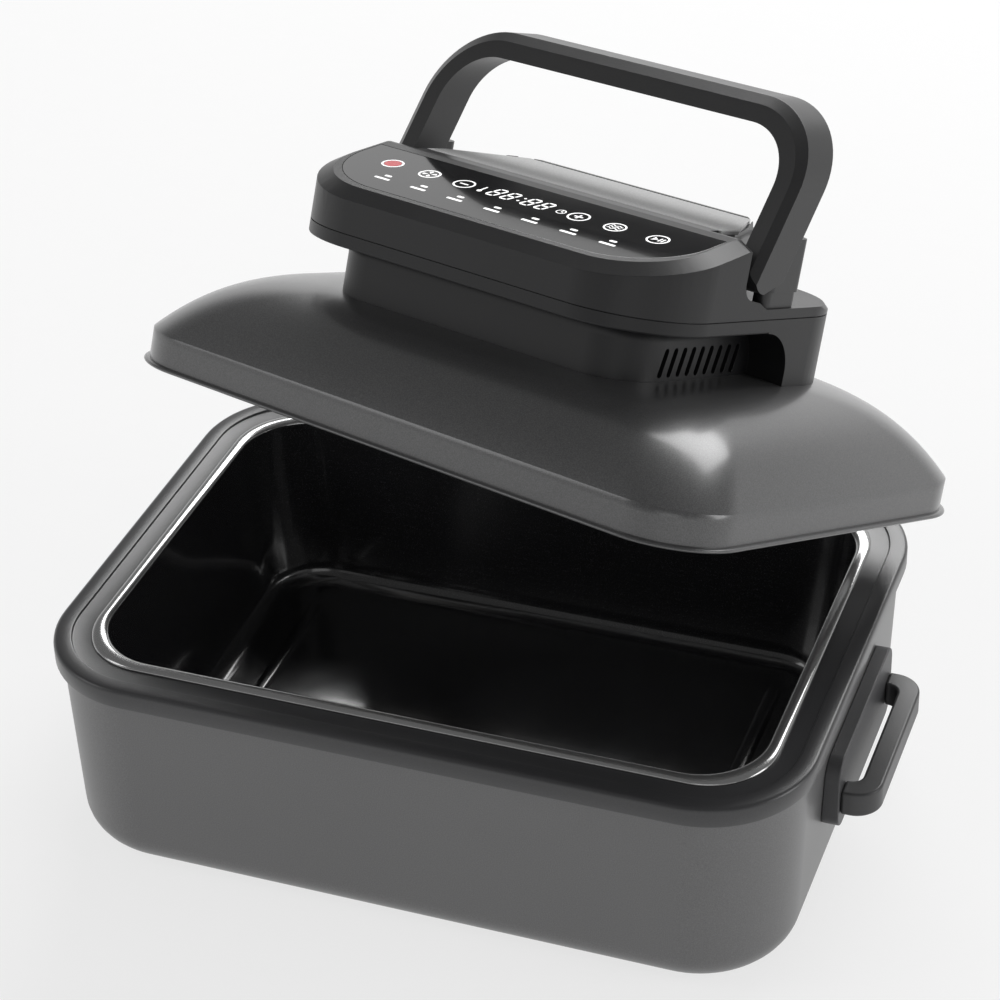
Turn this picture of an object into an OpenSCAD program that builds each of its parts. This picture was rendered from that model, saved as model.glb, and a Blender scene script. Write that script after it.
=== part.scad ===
// Air fryer grill: a rectangular roasting base and a lift-off lid with the heater, the fan and the controls.
// The lid is drawn in its own frame, with its underside at z = 0, and then held open above the base.

/* [Base] */
// Width over the rim
base_w = 400; // [380:1:420]
// Depth over the rim
base_d = 287; // [270:1:300]
// Height from the table to the top of the rim
base_h = 118; // [110:1:126]
// Corner radius of the rim, seen from above
base_r = 56; // [50:1:60]
// Height of the dark rim band
band_h = 10.7; // [9:0.1:13]
// How far the body is set in under the band
band_step = 4; // [3:0.5:6]
// How far each end of the body is drawn in from the top to the bottom
body_taper = 3; // [1:0.5:5]
// Radius of the rounded bottom edge
bottom_round = 20; // [12:1:24]
// Sheet thickness of the body
body_wall = 1.5; // [1.2:0.1:2.5]

/* [Inner pot] */
// Distance from the rim's outer edge to the pot's rolled edge
pot_edge_in = 19.3; // [17:0.1:22]
// Width of the rolled edge
pot_edge_w = 6.7; // [5:0.1:9]
// Height of the rolled edge above the rim
pot_edge_up = 1; // [0.5:0.1:2]
// Sheet thickness of the pot
pot_wall = 1.6; // [1.2:0.1:2.5]
// Height of the pot's floor above the table
pot_floor = 20; // [12:1:26]

/* [Side handles] */
// Half the length of the plate against the body
side_plate_half = 55; // [45:1:60]
// Lower edge of the plate
side_plate_low = 46; // [40:1:52]
// Upper edge of the plate
side_plate_top = 88; // [78:1:92]
// Lower face of the grip
grip_low = 56; // [52:1:62]
// Thickness of the grip
grip_thick = 14; // [11:1:16]
// How far the grip reaches out from the rim
grip_reach = 21.5; // [18:0.5:30]
// Width of the grip's bar
grip_bar = 11; // [9:0.5:12]

/* [Lid] */
// Width over the lid's bead
lid_w = 372; // [368:1:375]
// Corner radius of the bead
lid_r = 41; // [36:1:45]
// Height of the bead
bead_h = 2.6; // [2:0.1:3.5]
// How far the bead stands out from the skirt
bead_out = 2.8; // [2:0.1:3.5]
// Height of the upright skirt
skirt_h = 18.6; // [16:0.1:20]
// Height of the dome's flat top
dome_h = 57; // [54:0.5:59]
// How far in the dome reaches its full height, from the ends
dome_in = 87; // [80:1:92]
// Sheet thickness of the lid
lid_wall = 1.2; // [1:0.1:2]

/* [Head] */
// Width of the control head
head_w = 242; // [236:1:246]
// Front of the head, from the lid's centre
head_front = -97; // [-100:1:-94]
// Back of the head's neck and shelf, from the lid's centre
head_back = 85; // [80:1:90]
// Back of the raised rear deck, from the lid's centre
deck_back = 53; // [50:1:56]
// Radius of the head's front corners
head_rf = 50; // [44:1:54]
// Radius of the head's rear corners
head_rr = 40; // [34:1:46]
// How far the neck is set in under the head
neck_in = 22; // [19:1:24]
// Height of the seam between the neck and the head
seam_z = 91.5; // [90:0.5:93]
// Height of the front wall's upper edge
front_z = 108; // [106:0.5:110]
// Slope of the control panel
panel_tilt = 13.5; // [12:0.5:15]
// Height of the rear deck
deck_z = 130; // [129:0.5:132]
// Wall thickness of the plastic housings
shell_wall = 2.5; // [2:0.1:3]

/* [Carry handle] */
// Width of each leg and thickness of the top bar
leg_w = 13.3; // [11:0.1:15]
// Depth of the handle from front to back, measured level
handle_d = 27.3; // [24:0.1:30]
// Height of the top bar's upper face
handle_top = 194.5; // [188:0.5:200]
// Backward lean of the handle
handle_lean = 25.3; // [23:0.1:27]
// Outer corner radius
handle_r = 40; // [32:1:46]
// Width of the bevel along the outer front edge
bevel_w = 4.5; // [3:0.1:6]

/* [Fan and heater] */
// Distance from the lid's long edge to the fan guard
guard_gap = 21.5; // [19:0.5:26]
// Distance from the guard's edge to the outer coil's centre line
coil_gap = 20; // [17:0.5:24]
// Distance between the two coils
coil_step = 20; // [17:1:24]
// Radius of the heating tube
tube_r = 3.4; // [3:0.1:4]
// Free space between the inner coil and the fan's blades
fan_gap = 8.6; // [6:0.2:12]
// Radius of the motor's can
motor_r = 31; // [26:1:34]
// Radius of the shaft
shaft_r = 4; // [3:0.5:5]

/* [Open lid] */
// Turn of the lid about its own fan axis
open_turn = -22.4; // [-26:0.1:-18]
// Tilt of the turned lid about the slanted axis behind the base
open_tilt = 22.9; // [18:0.1:26]

/* [Hidden] */
$fn = 64;
eps = 0.01;
far = 2 * base_w;

// Base
body_w = base_w - 2 * band_step;
body_d = base_d - 2 * band_step;
body_r = base_r - band_step;
body_top = base_h - band_h;
ledge_in = 9.6;
ledge_drop = 1.2;
ledge_z = base_h - ledge_drop;
pot_open = pot_edge_in + pot_edge_w;
pot_taper = 9;
pot_slope = [pot_taper, pot_taper];
body_slope = [body_taper, 0];
pot_round = 12;
rib_h = 1.2;
rib_w = 7;
plate_out = 7;
screw_r = 2;
screw_y = 34;

// Lid
lid_margin = (base_w - lid_w) / 2;
lid_d = base_d - 2 * lid_margin;
seal_h = 3;
seat_gap = 0.3;
seat_z = base_h + pot_edge_up + seat_gap;
tilt_axis = [-0.98, 0.188, 0.068];
tilt_point = [36, 178, 29];
skirt_w = lid_w - 2 * bead_out;
skirt_d = lid_d - 2 * bead_out;
skirt_r = lid_r - bead_out;
dome_depth_share = 0.3055;
dome_top_r = 0.1934 * skirt_d;
dome_power = 3.2;
dome_steps = 12;
corner_steps = 9;
round_steps = 6;
edge_steps = 6;
bead_steps = 6;
liner_t = 1;
liner_flange = 15;
ceiling_z = 37;
ceiling_in_x = 52;
ceiling_in_y = 43;
ceiling_r = 40;
pad_w = lid_w - 2 * 91;
pad_t = 15;
pad_r = 30;
coil_z = 15;
riser_angle = 8;
fan_z = 23;
fan_h = 9;
guard_z = 5;
guard_t = 1.2;
guard_r = min(lid_w, lid_d) / 2 - guard_gap;
guard_border = 6;
guard_slot = 11;
guard_pitch = 16;
guard_bar = 5;
leg_reach = guard_r - 8;
leg_r = 5;
guard_screw_r = 1.6;
coil_r = guard_r - coil_gap;
fan_r = coil_r - coil_step - tube_r - fan_gap;
pad_d = 2 * (guard_r - 53);
probe_angle = 207;
probe_reach = coil_r - coil_step / 2;
motor_z = 62;
motor_hole = motor_r - 6;
motor_h = 30;
bore_r = shaft_r + 0.05;
cool_z = 96;
cool_h = 8;
cool_r = 44;

// Head
neck_low = 48;
lip_h = 7.4;
frame_y = 27;
recess_r = 21;
chamfer_h = 4.5;
chamfer_in = 8.5;
deck_wall_z = deck_z - chamfer_h;
tilt_rise = tan(panel_tilt);
deck_y = head_front + (deck_wall_z - front_z) / tilt_rise;
panel_len = (deck_y - head_front) / cos(panel_tilt);
glass_half = head_w / 2 - 10;
glass_v0 = 12.4;
glass_v1 = 69;
glass_t = 1.8;
shelf_z = 96.5;
shelf_x = head_w / 2 - 24;
deck_back_x = shelf_x - 21;
shelf_chamfer = 6;
notch_y = -22;
toe_z = 110;
notch_r = 9;
leg_front = -16.4;
bevel_d = 3.6;
back_edge = 1.2;
toe_r = 9.4;
toe_y = leg_front + toe_r + 2;
toe_up = toe_z + 3.5;
sole_slope = 25;
sole_len = 12;
heel_r = 6;
cover_t = 2.4;
cover_y = -14;
cover_gap = 0.8;
post_y0 = -1;
post_y1 = 29;
post_top = 131;
foot_h = 8;
foot_in = 1.2;
post_y = (post_y0 + post_y1) / 2;
post_w = leg_w - 1;
post_r = post_w / 2 - 0.2;
post_x = head_w / 2 - leg_w / 2;
handle_screw_r = 2;
handle_screw_z = seam_z - 4;
handle_screw_h = 18;
housing_x = head_w / 2 - 11;
housing_points = [[-housing_x, -40], [housing_x, -40], [-60, head_back - 11], [60, head_back - 11]];
housing_screw_r = 1.8;
head_r = 3.6;
inlet_x = -62;
inlet_z = 74;
inlet_w = 30;
inlet_h = 22;
inlet_d = 24;
inlet_out = 1;
inlet_wall = 3;
pin_w = 2;
pin_h = 4.5;
pin_l = 12;
pin_gap = 7;
slot_w = 3.2;
slot_h = 15;
slot_step = 7.6;
slot_y = -47;
slot_z = 66;
slot_lean = 14;
vent_x = 26;
vent_w = 3;
vent_h = 20;
vent_step = 7;
lip_round = 8;
roof_drop = 1.2;
board_t = 1.6;
board_z = -8;
control_w = 160;
control_d = 46;
control_v = 18;
display_w = 52;
display_d = 20;
display_v = 38;
power_w = 140;
power_d = 40;
power_y = -10;
power_z = 112;

// Rounded outline, centred, built from squares and circles
module rounded(w, d, r) {
    square([w - 2 * r, d], center = true);
    square([w, d - 2 * r], center = true);
    for (sx = [-1, 1], sy = [-1, 1])
        translate([sx * (w / 2 - r), sy * (d / 2 - r)]) circle(r);
}

// Outline of the rim, set in by a distance
module rim_outline(inset) {
    rounded(base_w - 2 * inset, base_d - 2 * inset, base_r - inset);
}

// Outline of the lid's bead, set in by a distance
module lid_outline(inset) {
    rounded(lid_w - 2 * inset, lid_d - 2 * inset, max(lid_r - inset, 3));
}

// One closed loop of points round a rounded rectangle
function ring(w, d, r, z) = [
    for (c = [0:3], i = [0:corner_steps])
        let (a = 90 * c + 90 * i / corner_steps,
             sx = (c == 0 || c == 3) ? 1 : -1,
             sy = (c < 2) ? 1 : -1)
        [sx * (w / 2 - r) + r * cos(a), sy * (d / 2 - r) + r * sin(a), z]];

// Solid through a list of rings, closed by a face at both ends, or joined end to end as a loop
module skin(rings, loop = false) {
    n = len(rings[0]);
    m = len(rings);
    ends = [[for (i = [0:n - 1]) i], [for (i = [n - 1:-1:0]) (m - 1) * n + i]];
    polyhedron(
        points = [for (one = rings) for (p = one) p],
        faces = concat(
            loop ? [] : ends,
            [for (k = [0:m - (loop ? 1 : 2)], i = [0:n - 1])
                let (a = k * n, b = ((k + 1) % m) * n, j = (i + 1) % n)
                [a + i, b + i, b + j, a + j]]));
}

// Rings of a tub's wall from its flat bottom upwards: a rounded bottom edge, then a straight wall
function tub_rings(w, d, r, z0, z1, slope, round_r) = concat(
    [for (k = [0:round_steps])
        let (a = 90 * k / round_steps, s = round_r * (1 - sin(a)))
        ring(w - 2 * (slope[0] + s), d - 2 * (slope[1] + s), r - s, z0 + round_r * (1 - cos(a)))],
    [ring(w, d, r, z1)]);

function upside(rings) = [for (k = [len(rings) - 1:-1:0]) rings[k]];

// Outer form of the painted body
function body_rings(inset) = tub_rings(body_w - 2 * inset, body_d - 2 * inset, body_r - inset,
    inset, body_top, body_slope, bottom_round - inset);

module base_shell() {
    color("#4a4b4d") difference() {
        skin(concat(body_rings(0), upside(body_rings(body_wall))));
        for (sx = [-1, 1], sy = [-1, 1])
            translate([sx * body_w / 2, sy * screw_y, side_plate_top - 12])
                rotate([0, 90, 0]) cylinder(r = screw_r + 0.2, h = 20, center = true);
    }
}

module rim_collar() {
    color("#303133") difference() {
        translate([0, 0, body_top]) linear_extrude(band_h) rim_outline(0);
        translate([0, 0, body_top - 1]) linear_extrude(band_h + 2) rim_outline(pot_open - 4);
        translate([0, 0, ledge_z]) linear_extrude(band_h) rim_outline(ledge_in);
    }
}

// Rings of the pot's wall below its rolled edge, grown by a wall thickness
function pot_rings(grow, top) = tub_rings(base_w - 2 * (pot_open - grow), base_d - 2 * (pot_open - grow),
    base_r - pot_open + 6 + grow, pot_floor - grow, top, pot_slope, pot_round);

// Rings over the rolled edge, from its outer foot to the pot's opening
function edge_rings() = [for (k = [0:edge_steps])
    let (a = 180 * k / edge_steps, s = pot_edge_in + pot_edge_w / 2 * (1 - cos(a)))
    ring(base_w - 2 * s, base_d - 2 * s, base_r - s + 6 * k / edge_steps,
         ledge_z + 0.6 + (ledge_drop + pot_edge_up - 0.6) * sin(a))];

module inner_pot() {
    color("#161616") {
        skin(concat(
            pot_rings(pot_wall, ledge_z),
            [ring(base_w - 2 * pot_edge_in, base_d - 2 * pot_edge_in, base_r - pot_edge_in, ledge_z)],
            edge_rings(),
            upside(pot_rings(0, ledge_z - 1))));
        for (sx = [-1, 1])
            translate([sx * (base_w / 2 - pot_open - 40), 0, pot_floor + rib_h / 2 - 0.2])
                cube([rib_w, base_d - 2 * pot_open - 70, rib_h + 0.4], center = true);
    }
}

// Outline of a plate in side view
module plate_outline(half, low, top, r) {
    translate([0, (low + top) / 2]) rounded(2 * half, top - low, r);
}

// Plate that the grip grows out of, lying on the body's end wall; side is 1 for the right
module side_plate(side) {
    color("#262627") difference() {
        translate([side * (body_w / 2 - 12), 0, 0]) rotate([90, 0, side * 90])
            linear_extrude(12 + plate_out)
                plate_outline(side_plate_half, side_plate_low, side_plate_top, 10);
        skin(body_rings(0));
        for (sy = [-1, 1])
            translate([side * body_w / 2, sy * screw_y, side_plate_top - 12])
                rotate([0, 90, 0]) cylinder(r = screw_r, h = 9, center = true);
    }
}

// Loop grip with an open finger gap
module side_grip(side) {
    root = body_w / 2 + plate_out;
    reach = base_w / 2 + grip_reach;
    half = side_plate_half - 3;
    color("#2c2c2d") translate([0, 0, grip_low]) linear_extrude(grip_thick) difference() {
        translate([side * (reach + root - 40) / 2, 0]) rounded(reach - root + 40, 2 * half, 14);
        translate([side * (reach - grip_bar + root - 40) / 2, 0])
            rounded(reach - grip_bar - root + 40, 2 * (half - grip_bar), 6);
        translate([side * (root - 30), 0]) square([60, 4 * half], center = true);
    }
}

module side_handle_screws() {
    color("silver") for (sx = [-1, 1], sy = [-1, 1])
        translate([sx * body_w / 2, sy * screw_y, side_plate_top - 12]) rotate([0, sx * 90, 0]) {
            translate([0, 0, -body_wall - 3]) cylinder(r = screw_r - 0.1, h = body_wall + 7);
            translate([0, 0, -body_wall - 4.4]) cylinder(r = 2 * screw_r, h = 2.4);
        }
}

// Ring of the dome at a share of the way in; the dome rises fast at the skirt and flattens out
function dome_ring(t, inset) =
    let (s = dome_in * t + inset,
         r = skirt_r + (dome_top_r - skirt_r) * t - inset * 0.5)
    ring(skirt_w - 2 * s, skirt_d - 2 * (dome_depth_share * skirt_d * t + inset), r,
         skirt_h + (dome_h - skirt_h) * (1 - pow(1 - t, dome_power)) - inset * t);

// Rings of the dome from the top of the skirt inwards, grown inwards by a wall thickness
function dome_rings(inset) = [for (k = [0:dome_steps]) dome_ring(pow(k / dome_steps, 1.5), inset)];

// The dome filled solid down to a height
module dome_form(low) {
    skin(concat([ring(skirt_w, skirt_d, skirt_r, low)], dome_rings(0)));
}

// Round bead at the skirt's foot, from its inner to its outer side
function bead_rings() = [for (k = [0:bead_steps])
    let (a = 180 * k / bead_steps, s = bead_out * (1 - sin(a)))
    ring(lid_w - 2 * s, lid_d - 2 * s, lid_r - s, 0.6 + bead_h / 2 * (1 - cos(a)))];

// Edge of the round hole under the motor
function hole_ring(z) = ring(2 * motor_hole, 2 * motor_hole, motor_hole - 0.5, z);

module lid_dome() {
    inner = lid_wall;
    color("#3f4042") skin(concat(
        [hole_ring(dome_h - inner)],
        upside(dome_rings(inner)),
        [ring(skirt_w - 2 * inner, skirt_d - 2 * inner, skirt_r - inner / 2, 0.6)],
        bead_rings(),
        dome_rings(0),
        [hole_ring(dome_h)]), loop = true);
}

module lid_seal() {
    color("#8a8a88") linear_extrude(seal_h) difference() {
        lid_outline(bead_out + lid_wall + 0.3);
        lid_outline(14.5);
    }
}

module lid_liner() {
    color("#b9bbbd") difference() {
        union() {
            translate([0, 0, seal_h]) linear_extrude(liner_t) lid_outline(bead_out + lid_wall + 0.3);
            liner_form(0);
        }
        liner_form(liner_t);
        translate([0, 0, ceiling_z - 3]) cylinder(r = shaft_r + 5, h = 6);
        on_risers() translate([0, 0, ceiling_z - 3]) cylinder(r = tube_r + 1.5, h = 6);
        at_probe() translate([0, 0, ceiling_z - 3]) cylinder(r = 3, h = 6);
    }
}

// Tray form of the liner, drawn in by a distance
module liner_form(inset) {
    hull() {
        translate([0, 0, seal_h - inset]) linear_extrude(eps) lid_outline(liner_flange + inset);
        translate([0, 0, ceiling_z - inset - eps]) linear_extrude(eps)
            rounded(lid_w - 2 * (ceiling_in_x + inset), lid_d - 2 * (ceiling_in_y + inset),
                ceiling_r - inset);
    }
}

// The two places where the element's risers go through the ceiling
module on_risers() {
    for (s = [-1, 1]) rotate([0, 0, s * riser_angle]) translate([coil_r, 0, 0]) children();
}

module at_probe() {
    translate([probe_reach * cos(probe_angle), probe_reach * sin(probe_angle), 0]) children();
}

module insulation_pad() {
    color("#d8d4c4") difference() {
        translate([0, 0, ceiling_z]) linear_extrude(pad_t) rounded(pad_w, pad_d, pad_r);
        translate([0, 0, ceiling_z - 1]) cylinder(r = shaft_r + 8, h = pad_t + 2);
        on_risers() translate([0, 0, ceiling_z - 1]) cylinder(r = tube_r + 2.5, h = pad_t + 2);
        at_probe() translate([0, 0, ceiling_z - 1]) cylinder(r = 4, h = pad_t + 2);
    }
}

// Two open rings of heating tube joined by a bridge, with two risers to the terminals
module heating_element() {
    color("#2f2d2b") translate([0, 0, coil_z]) {
        for (r = [coil_r - coil_step, coil_r]) rotate([0, 0, riser_angle])
            rotate_extrude(angle = 360 - 2 * riser_angle) translate([r, 0]) circle(tube_r, $fn = 24);
        translate([-coil_r, 0, 0]) rotate([0, 90, 0]) cylinder(r = tube_r - 0.6, h = coil_step);
        on_risers() translate([0, 0, -tube_r - 0.5])
            cylinder(r = tube_r + 0.6, h = ceiling_z - coil_z + tube_r + 4.5);
    }
}

module element_clips() {
    color("silver") for (a = [60, 140, 220, 300]) rotate([0, 0, a]) difference() {
        translate([coil_r - coil_step, -4, coil_z - tube_r - 1.5])
            cube([coil_step, 8, ceiling_z - 1 - coil_z + tube_r + 1.5]);
        for (r = [coil_r - coil_step, coil_r])
            translate([0, 0, coil_z]) rotate_extrude() translate([r, 0]) circle(tube_r, $fn = 24);
        translate([coil_r - coil_step + 6, -5, coil_z - 1]) cube([coil_step - 12, 10, 30]);
    }
}

module element_terminals() {
    color("#e8e4da") on_risers() translate([0, 0, ceiling_z + 4]) {
        cylinder(r = tube_r + 0.8, h = 5);
        translate([0, 0, 5]) cylinder(r = 1.2, h = 5);
    }
}

// Flat round guard under the fan and heater, with concentric slots
module fan_guard() {
    color("#c4c6c8") translate([0, 0, guard_z]) linear_extrude(guard_t) difference() {
        circle(guard_r);
        for (k = [0:floor((guard_r - guard_border - guard_pitch) / guard_pitch)])
            difference() {
                circle(guard_r - guard_border - k * guard_pitch);
                circle(guard_r - guard_border - guard_slot - k * guard_pitch);
                for (a = [0:45:135]) rotate(a) square([3 * guard_r, guard_bar], center = true);
            }
        on_legs() circle(guard_screw_r);
    }
}

// The four places where the guard stands off the ceiling
module on_legs() {
    for (a = [45:90:315]) rotate([0, 0, a]) translate([leg_reach, 0, 0]) children();
}

// Round spacers between the guard and the liner's ceiling
module guard_legs() {
    leg_z = guard_z + guard_t;
    color("#c4c6c8") on_legs() difference() {
        translate([0, 0, leg_z]) cylinder(r = leg_r, h = ceiling_z - liner_t - eps - leg_z);
        translate([0, 0, leg_z - 1]) cylinder(r = guard_screw_r, h = 12);
    }
}

module guard_screws() {
    color("silver") on_legs() translate([0, 0, guard_z]) {
        cylinder(r = guard_screw_r - 0.05, h = 11);
        translate([0, 0, -2]) cylinder(r = 3.4, h = 2);
    }
}

module temperature_probe() {
    color("#d0d2d4") at_probe() {
        translate([0, 0, 20]) cylinder(r = 2.2, h = 34);
        translate([0, 0, ceiling_z - liner_t - 1.6]) cylinder(r = 5, h = 1.5);
    }
}

// Plan outline of the head, set in by a distance
module head_plan(inset) {
    half = head_w / 2 - inset;
    yf = head_front + inset;
    yr = head_back - inset;
    rf = max(head_rf - inset, 6);
    rr = max(head_rr - inset, 2.5);
    translate([rf - half, yf]) square([2 * (half - rf), yr - yf]);
    translate([-half, yf + rf]) square([2 * half, yr - rr - yf - rf]);
    translate([rr - half, yf + rf]) square([2 * (half - rr), yr - yf - rf]);
    for (s = [-1, 1]) {
        translate([s * (half - rf), yf + rf]) circle(rf);
        translate([s * (half - rr), yr - rr]) circle(rr);
    }
}

// Front neck and the full-width frame behind it
module neck_plan(inset) {
    head_plan(neck_in + inset);
    intersection() {
        head_plan(inset);
        translate([-head_w, frame_y + inset]) square([2 * head_w, far]);
    }
}

module neck_housing() {
    color("#1f1f20") difference() {
        union() {
            translate([0, 0, neck_low]) linear_extrude(seam_z - neck_low) neck_plan(0);
            hull() {
                translate([0, 0, seam_z - lip_h - lip_round]) linear_extrude(eps) head_plan(neck_in);
                translate([0, 0, seam_z - lip_h]) linear_extrude(eps) head_plan(neck_in - lip_round);
            }
            translate([0, 0, seam_z - lip_h]) linear_extrude(lip_h) head_plan(0);
            // Curved corner of each side recess
            for (s = [-1, 1]) translate([s * (head_w / 2 - 12), 0, 0]) rotate([90, 0, 90])
                linear_extrude(24, center = true) difference() {
                    translate([frame_y - recess_r, seam_z - lip_h - recess_r]) square(recess_r);
                    translate([frame_y - recess_r, seam_z - lip_h - recess_r]) circle(recess_r);
                }
        }
        dome_form(-1);
        translate([0, 0, neck_low - 1]) linear_extrude(seam_z - neck_low - lip_h - lip_round)
            neck_plan(shell_wall);
        translate([0, 0, seam_z - lip_h - lip_round - 2]) linear_extrude(seam_z)
            head_plan(neck_in + shell_wall);
        // Slanted air slots in both sides of the neck
        for (s = [-1, 1], k = [0:8])
            translate([s * (head_w / 2 - neck_in), slot_y + slot_step * k, slot_z])
                rotate([-slot_lean, 0, 0]) cube([4 * shell_wall, slot_w, slot_h], center = true);
        // Upright exhaust slots in the rear wall
        for (k = [-5:5])
            translate([vent_x + vent_step * k, head_back, inlet_z])
                cube([vent_w, 4 * shell_wall, vent_h], center = true);
        translate([inlet_x, head_back, inlet_z])
            cube([inlet_w + 0.4, 2 * inlet_d, inlet_h + 0.4], center = true);
        for (p = housing_points) translate([p[0], p[1], 0]) {
            translate([0, 0, seam_z - 20]) cylinder(r = head_r + 0.2, h = 16);
            translate([0, 0, seam_z - 5]) cylinder(r = housing_screw_r + 0.2, h = 6);
        }
        for (s = [-1, 1]) translate([s * post_x, post_y, handle_screw_z - 0.5])
            cylinder(r = handle_screw_r, h = 10);
    }
}

// Everything above the sloping panel and the rear deck, lowered by a drop
module above_top(drop) {
    translate([0, head_front, front_z - drop]) rotate([panel_tilt, 0, 0])
        translate([-far / 2, -neck_low, 0]) cube([far, far, far]);
    translate([-far / 2, deck_y, deck_wall_z - drop]) cube([far, far, far]);
}

// Panel frame: x along the width, y up the slope, z out of the panel
module on_panel() {
    translate([0, head_front, front_z]) rotate([panel_tilt, 0, 0]) children();
}

// Outline in the panel frame with round front corners
module panel_outline(half, v0, v1, r) {
    intersection() {
        union() {
            translate([r - half, v0]) square([2 * (half - r), 2 * v1]);
            translate([-half, v0 + r]) square([2 * half, 2 * v1]);
            for (s = [-1, 1]) translate([s * (half - r), v0 + r]) circle(r);
        }
        translate([-half, v0]) square([2 * half, v1 - v0]);
    }
}

// Side view of the free space over the shelf; its front edge is the S-shaped notch for the handle's toe
module shelf_profile() {
    polygon(concat(
        [[notch_y, far], [notch_y, toe_z]],
        [for (a = [180:15:255]) [notch_y + notch_r + notch_r * cos(a), toe_z + notch_r * sin(a)]],
        [[-7, toe_z - 10], [0, shelf_z], [far, shelf_z], [far, far]]));
}

// Raised block between the shelves, grown outwards by a distance
module deck_block(grow) {
    half = shelf_x + grow;
    back = deck_back + grow;
    polygon([[-half, -far], [half, -far], [half, 2 + grow], [deck_back_x + grow + 4, back - 10],
        [deck_back_x + grow - 6, back], [6 - deck_back_x - grow, back], [-4 - deck_back_x - grow, back - 10],
        [-half, 2 + grow]]);
}

// Free space over the shelf, drawn back from the deck by a distance
module shelf_space(clear) {
    difference() {
        rotate([90, 0, 90]) linear_extrude(4 * head_w, center = true)
            translate([clear, clear]) shelf_profile();
        linear_extrude(far) deck_block(clear);
    }
}

// Outer form of the head above the seam
module upper_form() {
    slope = chamfer_in / chamfer_h;
    intersection() {
        translate([0, 0, seam_z]) linear_extrude(60) head_plan(0);
        union() {
            difference() {
                translate([-far / 2, -far / 2, seam_z - 1]) cube([far, far, far]);
                above_top(0);
            }
            // Bevel round the sloping panel, carried on to the notch
            hull() {
                on_panel() translate([0, 0, -1]) linear_extrude(eps)
                    panel_outline(head_w / 2 + slope, -slope, panel_len, head_rf + slope);
                on_panel() translate([0, 0, chamfer_h - eps]) linear_extrude(eps)
                    panel_outline(head_w / 2 - chamfer_in, chamfer_in, panel_len, head_rf - chamfer_in);
                translate([0, notch_y, deck_z - 0.5]) cube([head_w - 2 * chamfer_in, 4, 1], center = true);
                translate([0, notch_y, deck_wall_z - 1.5])
                    cube([head_w + 2 * slope, 4, 1], center = true);
            }
            // Bevel round the rear deck
            hull() for (step = [[0, deck_z - 20], [2.5, deck_z - 1]])
                translate([0, 0, step[1]]) linear_extrude(1) intersection() {
                    deck_block(-step[0]);
                    translate([-far / 2, deck_y + 3]) square([far, far]);
                }
        }
    }
}

// Solid that the shelf keeps inside its sloping rear edge
module shelf_edge() {
    rise = shelf_z - seam_z - 1;
    grow = shelf_chamfer / rise;
    hull() {
        translate([0, 0, seam_z]) linear_extrude(eps) head_plan(-grow);
        translate([0, -shelf_chamfer - 2 * grow, shelf_z + 1]) linear_extrude(eps) head_plan(-grow);
    }
    translate([0, 0, seam_z - 1]) linear_extrude(60) {
        deck_block(0);
        translate([-head_w, 2 * head_front]) square([2 * head_w, -2 * head_front]);
    }
}

// Outline of the rear cover
module cover_outline(inset) {
    half = shelf_x - 1 - inset;
    back_half = deck_back_x - 3 - inset;
    back = deck_back - shelf_chamfer - inset;
    polygon([[-half, cover_y + inset], [half, cover_y + inset], [half, 2],
        [back_half, back], [-back_half, back], [-half, 2]]);
}

module upper_housing() {
    color("#2a2a2b") difference() {
        intersection() {
            upper_form();
            shelf_edge();
        }
        difference() {
            translate([0, 0, seam_z - 1]) linear_extrude(60) head_plan(shell_wall + shelf_chamfer);
            above_top(roof_drop);
            shelf_space(-shell_wall);
        }
        on_panel() translate([0, 0, chamfer_h - glass_t]) linear_extrude(10)
            panel_outline(glass_half, glass_v0, glass_v1, head_rf - 6);
        translate([0, 0, deck_z - cover_t]) linear_extrude(10) cover_outline(0);
        shelf_space(0);
        for (p = housing_points) translate([p[0], p[1], seam_z - 1]) cylinder(r = housing_screw_r, h = 3.5);
        for (s = [-1, 1]) translate([s * post_x, post_y, seam_z - 1]) cylinder(r = handle_screw_r, h = 10);
    }
    color("#2a2a2b") {
        // Bosses that the two circuit boards hang from
        for (x = [-1, 1] * (power_w / 2 - 6), y = [power_y + 6, power_y + power_d - 6])
            translate([x, y, power_z + board_t]) cylinder(r = 3, h = deck_wall_z - power_z - board_t);
        on_panel() for (x = [-1, 1] * (control_w / 2 - 6), v = [control_v + 5, control_v + control_d - 5])
            translate([x, v, board_z + board_t]) cylinder(r = 2.5, h = -board_z - board_t);
        for (p = housing_points) difference() {
            translate([p[0], p[1], seam_z]) cylinder(r = 4.5, h = shelf_z - seam_z - 1);
            translate([p[0], p[1], seam_z - 1]) cylinder(r = housing_screw_r, h = 3.5);
        }
    }
}

module touch_panel() {
    color("#0c0c0e") on_panel() translate([0, 0, chamfer_h - glass_t]) linear_extrude(glass_t)
        panel_outline(glass_half, glass_v0, glass_v1, head_rf - 6);
}

module rear_cover() {
    color("#77797b") translate([0, 0, deck_z - cover_t]) linear_extrude(cover_t) cover_outline(cover_gap);
}

module control_board() {
    color("#1d5a34") on_panel() translate([-control_w / 2, control_v, board_z])
        cube([control_w, control_d, board_t]);
}

module display_module() {
    color("#202428") on_panel() translate([-display_w / 2, display_v, board_z + board_t])
        cube([display_w, display_d, -board_z - board_t - roof_drop * cos(panel_tilt)]);
}

// Board with a choke and two capacitors under the rear deck
module power_board() {
    color("#1d5a34") translate([-power_w / 2, power_y, power_z]) cube([power_w, power_d, board_t]);
    color("#2b4a7a") translate([-50, power_y + 12, power_z + board_t]) cube([34, 22, 8]);
    color("#222222") for (x = [0, 22])
        translate([x, power_y + 22, power_z + board_t]) cylinder(r = 7, h = 8);
}

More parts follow.
